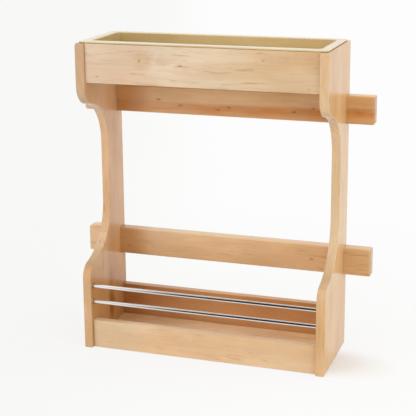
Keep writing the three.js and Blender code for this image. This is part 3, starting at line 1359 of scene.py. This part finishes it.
@dataclass
class GuardRods:
    """The two chromed rods across the front of the tray."""

    diameter: ClassVar[float] = 0.0055
    levels: ClassVar[tuple[str, ...]] = ("upper", "lower")
    chamfer: float = 0.0005
    sides: int = 72

    def build(self, finish: ChromeFinish) -> None:
        """Makes both rods.

        Args:
            finish: Their chrome.
        """
        material = finish.material()
        radius = self.diameter / 2
        for level in self.levels:
            node = f"{level}_rod"
            extent = Extent.of(node)
            radii = np.array((radius - self.chamfer, radius, radius, radius - self.chamfer))
            rings = round_rings(radii, chamfered_places(extent, self.chamfer), self.sides)
            rings = rings + (0.0, extent.middle.y, extent.middle.z)
            rod = place_piece(f"guard_rod_{level}", rings)
            enrol(rod, node, RACK_BODY, material)


@dataclass
class LiftOutBin:
    """The moulded bin that hangs by its flange in the top frame and lifts straight out."""

    wall: float = 0.002
    draft: float = 0.0018
    side_gap: float = 0.0015
    board_gap: float = 0.003
    corner: float = 0.008
    floor_radius: float = 0.005
    mouth_radius: float = 0.0015
    flange: float = 0.002
    flange_corner: float = 0.006
    round_steps: int = 8
    corner_steps: int = 12

    def plan(
        self, low: Sequence[float], high: Sequence[float], corner: float, inward: float
    ) -> np.ndarray:
        """A rounded rectangle, drawn in on all sides by one distance.

        Args:
            low: Low corner of the plan.
            high: High corner of the plan.
            corner: Corner radius before it is drawn in.
            inward: How far it is drawn in.

        Returns:
            The counter-clockwise outline, one point a row.
        """
        near = (low[0] + inward, low[1] + inward)
        far = (high[0] - inward, high[1] - inward)
        return rounded_rectangle(near, far, (corner - inward,) * 4, self.corner_steps)

    def rings(self) -> np.ndarray:
        """The bin's surface, from the middle of its floor up the inner wall, round the flange and
        down the outer wall to the middle of its underside.

        Returns:
            Rings of points in space.
        """
        extent = Extent.of("removable_bin")
        front = Extent.of("upper_front_board").high.y + self.board_gap
        back = Extent.of("upper_back_board").low.y - self.board_gap
        side = Extent.of("right_side_panel").low.x - self.side_gap
        walls = ((-side, front), (side, back), self.corner)
        edge = ((extent.low.x, extent.low.y), (extent.high.x, extent.high.y), self.flange_corner)
        top = extent.high.z
        underside = extent.low.z
        quarter = np.linspace(0, QUARTER_TURN, self.round_steps + 1)
        half = np.linspace(0, HALF_TURN, 2 * self.round_steps + 1)
        inner_radius = self.floor_radius - self.wall
        lip = self.flange / 2
        courses = (
            (
                walls,
                self.wall + self.draft + inner_radius * (1 - np.sin(quarter)),
                underside + self.wall + inner_radius * (1 - np.cos(quarter)),
            ),
            (
                walls,
                self.wall - self.mouth_radius * (1 - np.cos(quarter)),
                top - self.mouth_radius * (1 - np.sin(quarter)),
            ),
            (edge, lip * (1 - np.sin(half)), top - lip + lip * np.cos(half)),
            (walls, np.zeros(1), np.full(1, top - self.flange)),
            (
                walls,
                self.draft + self.floor_radius * (1 - np.cos(quarter)),
                underside + self.floor_radius * (1 - np.sin(quarter)),
            ),
        )
        outlines = []
        heights = []
        for plan, insets, levels in courses:
            outlines.extend(self.plan(*plan, inward) for inward in insets)
            heights.extend(levels)
        return stand_rings(np.stack(outlines), np.array(heights), (0, 1, 2))

    def build(self, finish: AlmondPolymer) -> None:
        """Makes the bin.

        Args:
            finish: Its polymer.
        """
        tub = place_piece("bin_moulding", self.rings())
        enrol(tub, "removable_bin", BIN_BODY, finish.material())


@dataclass
class Dowels:
    """The fluted dowels that join the boards' ends to the panels."""

    diameter: float = 0.006
    chamfer: float = 0.0008
    flutes: int = 18
    flute_depth: float = 0.00025
    points_a_flute: int = 5
    hole_sides: int = 24

    def nodes(self, board: str = "") -> list[str]:
        """The dowels of one board, or of all.

        Args:
            board: The board's node, or nothing for all boards.

        Returns:
            The dowels' nodes, in order.
        """
        stem = board.removesuffix("_board")
        names = (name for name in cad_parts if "_dowel_" in name)
        return sorted(name for name in names if name.startswith(stem))

    def holes(self, side: Side, board: str = "") -> list[np.ndarray]:
        """The holes of the dowels at one end.

        Args:
            side: Which end.
            board: One board's node, or nothing for all boards.

        Returns:
            The rings of each hole.
        """
        made = []
        for name in self.nodes(board):
            if f"_dowel_{side.word}_" in name:
                peg = Extent.of(name)
                start = peg.low.x - FIT_GAP
                end = peg.high.x + FIT_GAP
                radius = self.diameter / 2 + FIT_GAP
                place = (peg.middle.y, peg.middle.z)
                made.append(bar_rings(start, end, radius, self.hole_sides, *place))
        return made

    def rings(self, extent: Extent) -> np.ndarray:
        """A chamfered peg whose radius dips at each flute by a raised cosine.

        Args:
            extent: Extent of the dowel.

        Returns:
            Rings of points in space.
        """
        sides = self.flutes * self.points_a_flute
        angles = np.arange(sides) * FULL_TURN / sides
        dip = self.flute_depth * (0.5 + 0.5 * np.cos(self.flutes * angles)) ** 2
        radius = self.diameter / 2
        end = np.full(sides, radius - self.chamfer)
        radii = np.stack((end, radius - dip, radius - dip, end))
        rings = round_rings(radii, chamfered_places(extent, self.chamfer), sides)
        return rings + (0.0, extent.middle.y, extent.middle.z)

    def build(self, finish: BirchFinish) -> None:
        """Makes every dowel.

        Args:
            finish: Their birch.
        """
        material = finish.material()
        for node in self.nodes():
            peg = place_piece(f"fluted_{node}", self.rings(Extent.of(node)))
            enrol(peg, node, RACK_BODY, material)


@dataclass
class RailScrews:
    """The countersunk screws that hold the rails in the panels' notches."""

    length: float = 0.035
    diameter: float = 0.004
    core: float = 0.0027
    pitch: float = 0.0018
    point: float = 0.007
    tip: float = 0.0008
    head_diameter: float = 0.008
    head_height: float = 0.0026
    head_rim: float = 0.0004
    plain_shank: float = 0.009
    recess_length: float = 0.0044
    recess_width: float = 0.0009
    recess_depth: float = 0.0014
    recess_taper: float = 0.55
    crest_share: float = 0.28
    edge: float = 0.0001
    sides: int = 32
    rings_a_pitch: int = 8

    def centre(self, level: str, side: Side) -> Vector:
        """The middle of a screw's head.

        Args:
            level: Which rail.
            side: Which end.

        Returns:
            The point, on the rail's back face.
        """
        extent = Extent.of(f"{level}_rail_screw_{side.word}")
        return Vector((extent.middle.x, extent.high.y, extent.middle.z))

    def stand(self, rings: np.ndarray, level: str, side: Side) -> np.ndarray:
        """Turns rings about X into rings about Y, behind the middle of a screw's head.

        Args:
            rings: Rings whose places run into the wood.
            level: Which rail.
            side: Which end.

        Returns:
            Rings of points in space.
        """
        turned = np.stack((rings[:, :, 1], -rings[:, :, 0], rings[:, :, 2]), axis=2)
        return turned + tuple(self.centre(level, side))

    def hole(self, level: str, side: Side) -> np.ndarray:
        """The clearance hole and countersink of one screw.

        Args:
            level: Which rail.
            side: Which end.

        Returns:
            Rings of points in space.
        """
        head = self.head_diameter / 2 + FIT_GAP
        shank = self.diameter / 2 + FIT_GAP
        radii = np.array((head, head, shank, shank, self.tip / 2 + FIT_GAP))
        places = np.array(
            (
                -OVERRUN,
                self.head_rim + FIT_GAP,
                self.head_height + FIT_GAP,
                self.length - self.point,
                self.length + FIT_GAP,
            )
        )
        return self.stand(round_rings(radii, places, self.sides), level, side)

    def thread(self) -> tuple[np.ndarray, np.ndarray]:
        """The threaded part: the core's radius plus a ridge that is a triangle in the share of a
        pitch left over when the distance, less the turn, is divided by the pitch.

        Returns:
            Rows of radii, and their places.
        """
        count = int((self.length - self.plain_shank) / self.pitch * self.rings_a_pitch)
        places = np.linspace(self.plain_shank, self.length, count)
        turns = np.arange(self.sides) / self.sides
        phase = np.mod(places[:, None] / self.pitch - turns[None, :], 1.0)
        ridge = np.clip(1 - np.abs(phase - 0.5) / self.crest_share, 0, 1)
        crest = self.diameter / 2 - self.core / 2
        radii = self.core / 2 + crest * ridge
        taper = np.clip((self.length - places) / self.point, 0, 1)
        slim = self.tip / self.diameter + (1 - self.tip / self.diameter) * taper
        fade = np.clip((places - self.plain_shank) / self.pitch, 0, 1)
        shank = self.diameter / 2 * (1 - fade)
        return radii * slim[:, None] * fade[:, None] + shank[:, None], places

    def screw_rings(self) -> np.ndarray:
        """The screw's surface, from the face of its head to its tip.

        Returns:
            Rings of points about X.
        """
        head = self.head_diameter / 2
        shank = self.diameter / 2
        top = np.repeat(((head - self.edge,), (head,), (head,), (shank,)), self.sides, axis=1)
        top_places = np.array((0.0, self.edge, self.head_rim, self.head_height))
        radii, places = self.thread()
        radii = np.concatenate((top, radii))
        places = np.concatenate((top_places, places))
        return round_rings(radii, places, self.sides)

    def recess(self) -> np.ndarray:
        """A cross that narrows towards its bottom.

        Returns:
            Rings of points about X.
        """
        long = self.recess_length / 2
        short = self.recess_width / 2
        arm = np.array(((long, -short), (long, short), (short, short)))
        quarter = np.array(((0.0, -1.0), (1.0, 0.0)))
        turned = [arm]
        for _ in range(3):
            turned.append(turned[-1] @ quarter.T)
        cross = np.concatenate(turned)
        shares = np.array((1.0, 1.0, self.recess_taper))
        places = np.array((-OVERRUN, 0.0, self.recess_depth))
        rings = cross[None, :, :] * shares[:, None, None]
        along = np.broadcast_to(places[:, None, None], (*rings.shape[:2], 1))
        return np.concatenate((along, rings), axis=2)

    def build(self, finish: ZincFinish) -> None:
        """Makes every screw.

        Args:
            finish: Their zinc.
        """
        material = finish.material()
        for level in MountingRails.levels:
            for side in Side:
                rings = self.stand(self.screw_rings(), level, side)
                recess = self.stand(self.recess(), level, side)
                screw = place_piece(f"threaded_screw_{level}_{side.word}", rings, [recess])
                node = f"{level}_rail_screw_{side.word}"
                enrol(screw, node, RACK_BODY, material)


# Studio


@dataclass(frozen=True)
class SoftBox:
    """One soft box: its name, its place, its width and height, and its power in watts."""

    name: str
    place: Triple
    size: tuple[float, float]
    power: float

    def hang(self, aim: Triple) -> None:
        """Hangs the box up, out of sight of the rack's mirrors.

        Args:
            aim: What it points at.
        """
        data = bpy.data.lights.new(self.name, "AREA")
        data.shape = "RECTANGLE"
        data.size, data.size_y = self.size
        data.energy = self.power
        lamp = bpy.data.objects.new(self.name, data)
        bpy.context.scene.collection.objects.link(lamp)
        lamp.location = self.place
        lamp.visible_glossy = False
        line = Vector(aim) - Vector(self.place)
        lamp.rotation_euler = line.to_track_quat("-Z", "Y").to_euler()


@dataclass
class Studio:
    """The pale floor, the soft light and the camera.

    Eye and mirrors see floor and sky white, but mirrors also see a dark side of the room, as the
    photograph's chrome does: an oval about dark_centre as seen from dark_from, and a strip of the
    floor between dark_left and dark_right. The floor keeps a share of the rack's own shadow, with
    a larger share beside the right foot.
    """

    floor_reach: float = 30.0
    floor_lines: int = 9
    seen_left: Colour = srgb(248, 248, 246)
    seen_right: Colour = srgb(253, 253, 253)
    seen_span: tuple[float, float] = (-0.35, 0.1)
    floor_albedo: Colour = (0.86, 0.86, 0.85)
    shadow_share: float = 0.18
    shadow_reach: tuple[float, float] = (0.27, 0.9)
    foot: Triple = (0.188, -0.015, 0.0)
    foot_scale: Triple = (1.0, 1.65, 0.0)
    foot_share: float = 0.85
    foot_reach: tuple[float, float] = (0.015, 0.125)
    sky_left: float = 0.64
    sky_right: float = 1.0
    dark_room: Colour = (0.018, 0.016, 0.015)
    dark_centre: tuple[float, float] = (math.radians(-13.0), math.radians(18))
    dark_reach: tuple[float, float] = (math.radians(11.1), math.radians(79))
    dark_core: float = 0.55
    dark_from: Triple = (0.0, -0.0575, 0.08)
    dark_slope: float = 0.325
    dark_left: tuple[float, float] = (-0.20, -0.03)
    dark_right: tuple[float, float] = (0.25, 0.40)
    dark_near: tuple[float, float] = (0.07, 0.14)
    camera_place: Triple = (0.51386, -1.53396, 0.66763)
    azimuth: float = math.radians(18.816)
    elevation: float = math.radians(14.236)
    roll: float = math.radians(0.478)
    lens: float = 100.80
    rise: float = -0.075
    sensor: float = 36.0
    farthest: float = 200.0
    aim: Triple = (0.0, 0.0, 0.22)
    boxes: tuple[SoftBox, ...] = (
        SoftBox("key_soft_box", (-1.35, -1.85, 0.95), (1.1, 1.3), 10.5),
        SoftBox("top_soft_box", (0.1, -0.2, 2.4), (1.8, 1.8), 14.0),
        SoftBox("fill_soft_box", (1.9, -1.1, 0.6), (1.0, 1.0), 4.0),
    )

    def camera(self) -> None:
        """Sets the camera at the photograph's viewing angle."""
        data = bpy.data.cameras.new("studio_camera")
        data.lens = self.lens
        data.sensor_width = self.sensor
        data.shift_y = self.rise
        data.clip_end = self.farthest
        camera = bpy.data.objects.new("studio_camera", data)
        bpy.context.scene.collection.objects.link(camera)
        sine, cosine = math.sin(self.azimuth), math.cos(self.azimuth)
        lean, level = math.sin(self.elevation), math.cos(self.elevation)
        forward = Vector((-sine * level, cosine * level, -lean))
        right = Vector((cosine, sine, 0.0))
        up = right.cross(forward)
        tilted_up = up * math.cos(self.roll) + right * math.sin(self.roll)
        tilted_right = right * math.cos(self.roll) - up * math.sin(self.roll)
        turn = Matrix((tilted_right, tilted_up, -forward)).transposed()
        camera.matrix_world = Matrix.Translation(self.camera_place) @ turn.to_4x4()
        bpy.context.scene.camera = camera

    def backdrop(
        self, recipe: Recipe, plain: Value, direction: Socket, strip: Value = 0.0
    ) -> tuple[Socket, Socket]:
        """What camera, glossy and transmission rays see of the floor and the sky.

        Glossy rays also see the dark side of the room, an oval of two angles, the lean to the right
        and the turn up from straight ahead: inside it the squares of the two, each from its middle
        and in half widths, add up to less than 1.

        Args:
            recipe: The material or sky.
            plain: The backdrop's own colour.
            direction: Where the ray goes, seen from the guard rods.
            strip: How much of the dark side shows there beyond the oval.

        Returns:
            The share of such rays, and the colour that they see.
        """
        x, y, z = recipe.split(direction)
        upright = recipe.vector("LENGTH", recipe.join(0.0, y, z))
        angles = (
            recipe.number("ARCTAN2", x, upright),
            recipe.number("ARCTAN2", z, recipe.number("MULTIPLY", y, -1.0)),
        )
        offsets = [
            recipe.number("DIVIDE", recipe.number("SUBTRACT", angle, centre), reach)
            for angle, centre, reach in zip(angles, self.dark_centre, self.dark_reach)
        ]
        away = recipe.vector("LENGTH", recipe.join(*offsets, 0.0))
        path = recipe.node("ShaderNodeLightPath").outputs
        oval = recipe.step(away, self.dark_core, 1.0, 1.0, 0.0)
        dark = recipe.number("MAXIMUM", oval, strip)
        dark = recipe.number("MULTIPLY", dark, path["Is Glossy Ray"])
        shown = recipe.blend(dark, plain, self.dark_room)
        seen = recipe.number("ADD", path["Is Camera Ray"], path["Is Glossy Ray"], clamp=True)
        return recipe.number("ADD", seen, path["Is Transmission Ray"], clamp=True), shown

    def strip(self, recipe: Recipe, place: Socket) -> Socket:
        """The strip of the floor where the rods see the dark side of the room.

        It starts in front of them and runs off to the front left, as their reflections do.

        Args:
            recipe: The floor's material.
            place: Place on the floor.

        Returns:
            The share of the dark side.
        """
        x, y, _ = recipe.split(place)
        ahead = recipe.number("MULTIPLY_ADD", y, -1.0, self.dark_from[1])
        aside = recipe.number("MULTIPLY_ADD", ahead, self.dark_slope, x)
        share = recipe.step(ahead, *self.dark_near)
        share = recipe.number("MULTIPLY", share, recipe.step(aside, *self.dark_left))
        return recipe.number("MULTIPLY", share, recipe.step(aside, *self.dark_right, 1.0, 0.0))

    def floor(self) -> None:
        """Lays the floor as a flat grid, white to the eye and keeping the rack's shadow."""
        reach = np.linspace(-self.floor_reach, self.floor_reach, self.floor_lines)
        x, y = np.meshgrid(reach, reach)
        points = np.stack((x, y, np.zeros_like(x)), axis=2).reshape(-1, 3)
        index = np.arange(len(points)).reshape(len(reach), len(reach))
        corners = (index[:-1, :-1], index[:-1, 1:], index[1:, 1:], index[1:, :-1])
        faces = np.stack(corners, axis=2).reshape(-1, 4)
        mesh = bpy.data.meshes.new("studio_floor")
        mesh.from_pydata(points.tolist(), [], faces.tolist())
        floor = bpy.data.objects.new("studio_floor", mesh)
        bpy.context.scene.collection.objects.link(floor)
        recipe = Recipe.named("studio_floor")
        place = recipe.node("ShaderNodeTexCoord").outputs["Object"]
        across = (math.cos(self.azimuth), math.sin(self.azimuth), 0.0)
        sideways = recipe.vector("DOT_PRODUCT", place, across)
        aside = recipe.step(sideways, *self.seen_span)
        plain = recipe.blend(aside, self.seen_left, self.seen_right)
        direction = recipe.vector("SUBTRACT", place, self.dark_from)
        seen, shown = self.backdrop(recipe, plain, direction, self.strip(recipe, place))
        near = recipe.vector("LENGTH", place)
        kept = recipe.step(near, *self.shadow_reach, self.shadow_share, 0.0)
        offset = recipe.vector("SUBTRACT", place, self.foot)
        beside = recipe.vector("LENGTH", recipe.vector("MULTIPLY", offset, self.foot_scale))
        share = recipe.step(beside, *self.foot_reach, self.foot_share, 0.0)
        kept = recipe.number("MAXIMUM", kept, share)
        cloth = recipe.node("ShaderNodeBsdfDiffuse")
        recipe.feed(cloth.inputs[0], (*self.floor_albedo, 1.0))
        glow = recipe.node("ShaderNodeEmission")
        recipe.feed(glow.inputs[0], shown)
        mix = recipe.node("ShaderNodeMixShader")
        glowing = recipe.number("MULTIPLY", seen, recipe.number("SUBTRACT", 1.0, kept))
        recipe.feed(mix.inputs[0], glowing)
        recipe.tree.links.new(cloth.outputs[0], mix.inputs[1])
        recipe.tree.links.new(glow.outputs[0], mix.inputs[2])
        output = recipe.node("ShaderNodeOutputMaterial")
        recipe.tree.links.new(mix.outputs[0], output.inputs[0])
        mesh.materials.append(recipe.owner)

    def sky(self) -> None:
        """Lights the rack evenly from all round, and shows white behind it."""
        world = bpy.data.worlds.new("studio_sky")
        bpy.context.scene.world = world
        recipe = Recipe(world)
        direction = recipe.node("ShaderNodeTexCoord").outputs["Generated"]
        seen, shown = self.backdrop(recipe, self.seen_right, direction)
        sideways = recipe.step(recipe.split(direction)[0], -1.0, 1.0)
        light = recipe.blend(sideways, (self.sky_left,) * 3, (self.sky_right,) * 3)
        background = recipe.node("ShaderNodeBackground")
        recipe.feed(background.inputs[0], recipe.blend(seen, light, shown))
        output = recipe.node("ShaderNodeOutputWorld")
        recipe.tree.links.new(background.outputs[0], output.inputs[0])

    def build(self) -> None:
        """Sets up the whole studio."""
        bpy.context.scene.view_settings.view_transform = "Standard"
        self.floor()
        self.sky()
        for box in self.boxes:
            box.hang(self.aim)
        self.camera()


PALE = srgb(228, 199, 164)
TAN = srgb(216, 177, 132)


def maple(
    name: str, grain: Grain, seed: float, across: float, through: float, **more: object
) -> MapleFinish:
    """One piece's maple, in the rack's common colours.

    Args:
        name: The material's name.
        grain: Which way its fibres run.
        seed: Which part of the tree it is.
        across: Where the pith lies across the face.
        through: Where the pith lies behind the face.
        more: Fields that differ from the common ones.

    Returns:
        The finish.
    """
    fields = {"pale": PALE, "tan": TAN, **more}
    return MapleFinish(name, grain, seed=seed, pith_across=across, pith_through=through, **fields)


def rod_mouths(side: Side) -> tuple[Triple, ...]:
    """Where the rods enter a panel, along, across and through its grain.

    Args:
        side: Which panel.

    Returns:
        The middle of each socket's mouth.
    """
    panel = Extent.of(f"{side.word}_side_panel")
    inner = panel.low.x if side is Side.RIGHT else panel.high.x
    bars = [Extent.of(f"{level}_rod").middle for level in GuardRods.levels]
    return tuple((bar.z, bar.y, inner) for bar in bars)


def panel_timber() -> dict[Side, MapleFinish]:
    """The maple of the two side panels."""
    return {
        Side.LEFT: maple(
            "maple_left_panel", Grain.UPRIGHT, 4.0, 0.05, -0.28,
            pale=srgb(230, 195, 158),
            tan=srgb(215, 172, 128),
            fibre_strength=0.16,
            # Painted shade on the inner face, which is turned right, for how the light falls on it.
            face_shade=(0.96, 0.92, 0.875),
            drifts=(
                # Painted shade: the first drift makes the inner face darker and more orange low in
                # the tray.
                Drift(0.165, 0.105, (0.80, 0.66, 0.43), turned=True),
                Drift(0.15, 0.12, (0.87, 0.81, 0.70), turned=False),
                Drift(0.05, 0.04, (0.97, 0.93, 0.86), turned=False),
                Drift(0.30, 0.37, (0.80, 0.82, 0.855), turned=False),
            ),
            glue_line=-0.0015,
            glue_top=0.16,
            stave_shade=(0.93, 0.88, 0.82),
            patches=(
                Patch(3.745, 0.0085, 0.070, 0.032, (0.60, 0.50, 0.42)),
                Patch(3.787, 0.0130, 0.040, 0.040, (0.88, 0.82, 0.76)),
                Patch(3.737, 0.0005, 0.012, 0.004, (0.45, 0.35, 0.30)),
                Patch(3.784, 0.0030, 0.056, 0.020, (0.90, 0.80, 0.68)),
                # Painted shade: this patch makes the inner face more orange low in the tray. The
                # next two are painted light, lighter beside the lower rail and near the top.
                Patch(3.783, 0.0200, 0.084, 0.080, (0.98, 0.92, 0.70)),
                Patch(3.818, 0.0480, 0.100, 0.066, (1.24, 1.31, 1.20)),
                Patch(4.070, 0.0200, 0.120, 0.090, (1.14, 1.12, 1.11)),
            ),
            knots=(PinKnot(0.427, -0.0665, 0.0011, through=-0.1668),),
            mouths=rod_mouths(Side.LEFT),
        ),
        Side.RIGHT: maple(
            "maple_right_panel", Grain.UPRIGHT, 9.0, -0.09, 0.30,
            pale=srgb(227, 196, 156),
            tan=srgb(217, 177, 130),
            fibre_strength=0.34,
            # Painted shade on the outer face, which is turned right, for how the light falls on it.
            face_shade=(1.0, 0.93, 0.74),
            drifts=(
                Drift(0.14, 0.10, (0.98, 0.89, 0.74)),
                Drift(0.14, 0.10, (0.95, 0.93, 0.83), turned=True),
                Drift(0.34, 0.40, (0.95, 0.90, 0.86)),
            ),
            dashes=(
                Dash(0.4086, -0.019, 0.016),
                Dash(0.4332, -0.0026, 0.014),
                Dash(0.1223, -0.0067, 0.018),
                Dash(0.0796, 0.0297, 0.020),
                Dash(0.4173, -0.0665, 0.010, through=0.1756),
                Dash(0.4029, -0.0665, 0.008, through=0.1758),
                Dash(0.1294, -0.0550, 0.012, through=0.1780),
            ),
            mouths=rod_mouths(Side.RIGHT),
        ),
    }


def board_timber() -> dict[str, MapleFinish]:
    """The maple of the boards and of the tray floor."""
    return {
        "upper_front_board": maple(
            "maple_upper_front", Grain.WIDTH, 15.0, 0.47, 0.05,
            pale=srgb(223, 200, 174),
            tan=srgb(211, 179, 146),
            drifts=(
                Drift(-0.06, 0.17, (1.0, 0.93, 0.74)),
                Drift(0.07, 0.14, (0.95, 0.92, 0.93)),
            ),
            patches=(
                Patch(0.0100, 0.4225, 0.210, 0.120, (1.05, 1.09, 1.11)),
                Patch(-0.0830, 0.4290, 0.040, 0.034, (0.93, 0.86, 0.75)),
                Patch(-0.0890, 0.4305, 0.0050, 0.0070, (0.76, 0.66, 0.54)),
                Patch(-0.0940, 0.4370, 0.034, 0.012, (0.95, 0.91, 0.87)),
                Patch(-0.0660, 0.4250, 0.024, 0.024, (1.05, 1.02, 1.03)),
                Patch(-0.0500, 0.4310, 0.026, 0.024, (0.95, 0.90, 0.84)),
                Patch(-0.0375, 0.4230, 0.022, 0.018, (1.04, 1.02, 1.02)),
            ),
            knots=(
                PinKnot(-0.0267, 0.4251, 0.0016),
                PinKnot(-0.1501, 0.4045, 0.0009),
                PinKnot(0.0903, 0.4367, 0.001),
                PinKnot(0.1532, 0.4023, 0.0012, depth=0.3),
            ),
            dashes=(
                Dash(-0.1160, 0.4415, 0.016, 0.15, 0.35),
                Dash(-0.1330, 0.4385, 0.014, 0.05, 0.30),
                Dash(-0.1370, 0.4275, 0.020, 0.0, 0.28),
                Dash(-0.1480, 0.4215, 0.012, 0.0, 0.25),
                Dash(-0.1240, 0.4450, 0.012, 0.1, 0.22),
                Dash(-0.02, 0.4335, 0.012, -0.1, 0.3),
                Dash(0.1560, 0.4367, 0.008, 0.0, 0.3),
                Dash(0.1610, 0.4287, 0.009, 0.0, 0.35),
                Dash(0.015, 0.4325, 0.014, -0.25, 0.3),
                Dash(0.045, 0.427, 0.012, -0.2, 0.25),
            ),
        ),
        "upper_back_board": maple("maple_upper_back", Grain.WIDTH, 21.0, 0.40, 0.16),
        "lower_front_board": maple(
            "maple_lower_front", Grain.WIDTH, 27.0, 0.06, 0.02,
            pale=srgb(228, 195, 155),
            tan=srgb(218, 175, 127),
            drifts=(Drift(-0.07, -0.13, (0.91, 0.95, 1.0)),),
            dashes=(
                Dash(0.0727, 0.0195, 0.007, -0.1, 0.7),
                Dash(0.0948, 0.0109, 0.012, -0.45, 0.6),
                Dash(0.0401, 0.0267, 0.010, -0.1, 0.3),
            ),
        ),
        "lower_back_board": maple(
            "maple_lower_back", Grain.WIDTH, 33.0, -0.03, 0.17,
            # Painted shade and light: the base colours are darker, partly the board's own tone and
            # partly shade in the tray; top_shade lights the top; the drifts are the left panel's
            # shadow, darker towards the left.
            pale=srgb(210, 156, 106),
            tan=srgb(195, 134, 80),
            top_shade=(1.16, 1.30, 1.34),
            drifts=(
                Drift(-0.12, -0.15, (0.83, 0.72, 0.57)),
                Drift(0.02, -0.09, (0.84, 0.80, 0.76)),
            ),
        ),
        "tray_floor": maple(
            "maple_tray_floor", Grain.WIDTH, 39.0, 0.02, -0.09,
            # Painted light and shade: the base colours are paler for the light the tray lacks, and
            # the drifts darken it towards the left panel, whose shadow falls there, and lighten it
            # towards the right.
            pale=srgb(252, 226, 186),
            tan=srgb(245, 208, 162),
            drifts=(
                Drift(-0.11, -0.15, (0.95, 0.88, 0.76)),
                Drift(-0.03, -0.10, (0.83, 0.82, 0.83)),
                Drift(0.08, 0.16, (1.22, 1.30, 1.26)),
            ),
            ring_strength=0.3,
            streak_strength=0.8,
            fibre_strength=0.5,
        ),
    }


def rail_timber() -> dict[str, MapleFinish]:
    """The maple of the two mounting rails."""
    return {
        "upper": maple(
            "maple_upper_rail", Grain.WIDTH, 45.0, 0.30, 0.14,
            pale=srgb(226, 184, 140),
            tan=srgb(213, 164, 112),
            # Painted light on the top. The drifts are painted shade: the left end is darker and
            # more orange in the left panel's shadow, and the stub beyond the right panel is darker.
            top_shade=(1.06, 1.18, 1.32),
            drifts=(
                Drift(-0.104, -0.142, (0.80, 0.62, 0.40), -0.168),
                Drift(0.168, 0.178, (0.98, 0.90, 0.74)),
            ),
            heart=srgb(199, 120, 45),
            heartwood=Heartwood(0.3535, 0.005, 0.85, 0.010, -0.13, 0.0),
            knots=(
                PinKnot(-0.1020, 0.3551, 0.0016, depth=0.85),
                PinKnot(-0.0675, 0.3494, 0.0014, depth=0.85),
                PinKnot(-0.0088, 0.3452, 0.0016, depth=0.85),
                PinKnot(0.0095, 0.3491, 0.0016, depth=0.85),
                PinKnot(0.1051, 0.3470, 0.0018, depth=0.85),
                PinKnot(0.1341, 0.3544, 0.0018, depth=0.85),
            ),
            patches=(
                Patch(0.200, 0.3435, 0.090, 0.022, (1.08, 1.34, 1.62)),
                Patch(0.080, 0.3375, 0.220, 0.014, (1.05, 1.12, 1.16)),
                Patch(0.200, 0.3565, 0.090, 0.007, (0.86, 0.76, 0.64)),
                Patch(0.200, 0.3660, 0.080, 0.026, (0.93, 0.88, 0.80)),
            ),
            dashes=(Dash(0.0, 0.3492, 0.012, 0.0, 0.4), Dash(0.128, 0.355, 0.012, 0.0, 0.5)),
        ),
        "lower": maple(
            "maple_lower_rail", Grain.WIDTH, 51.0, 0.09, 0.20,
            pale=srgb(228, 187, 140),
            tan=srgb(215, 168, 117),
            # Painted light on the top. The first three drifts are painted shade and light: the left
            # end is darker in the left panel's shadow, and the stub beyond it is lighter. The last
            # drift is painted shade on the stub beyond the right panel.
            top_shade=(1.10, 1.20, 1.28),
            drifts=(
                Drift(-0.112, -0.148, (0.82, 0.67, 0.48), -0.168),
                Drift(-0.168, -0.172, (1.04, 1.12, 1.30)),
                Drift(-0.03, -0.12, (0.90, 0.91, 0.95), -0.168),
                Drift(0.04, 0.165, (1.13, 1.15, 1.17), 0.172),
                Drift(0.168, 0.178, (0.93, 0.90, 0.84)),
            ),
            knots=(PinKnot(-0.1527, 0.1261, depth=0.8), PinKnot(0.1329, 0.1315, 0.0014, depth=0.6)),
            dashes=(
                Dash(0.1949, 0.1436, 0.016, -0.05, 0.5),
                Dash(0.2071, 0.1221, 0.012, -0.1, 0.6),
                Dash(-0.1439, 0.1477, 0.010, 0.0, 0.3),
                Dash(-0.1131, 0.1266, 0.008, 0.0, 0.4),
            ),
        ),
    }


def main() -> None:
    """Builds the rack and the studio, and writes how large the result is."""
    logging.basicConfig(level=logging.INFO, format="%(name)s: %(message)s")
    Studio().build()
    SidePanels().build(panel_timber())
    CrossBoards().build(board_timber())
    MountingRails().build(rail_timber())
    GuardRods().build(ChromeFinish())
    LiftOutBin().build(AlmondPolymer())
    Dowels().build(BirchFinish())
    RailScrews().build(ZincFinish())


if __name__ == "__main__":
    main()
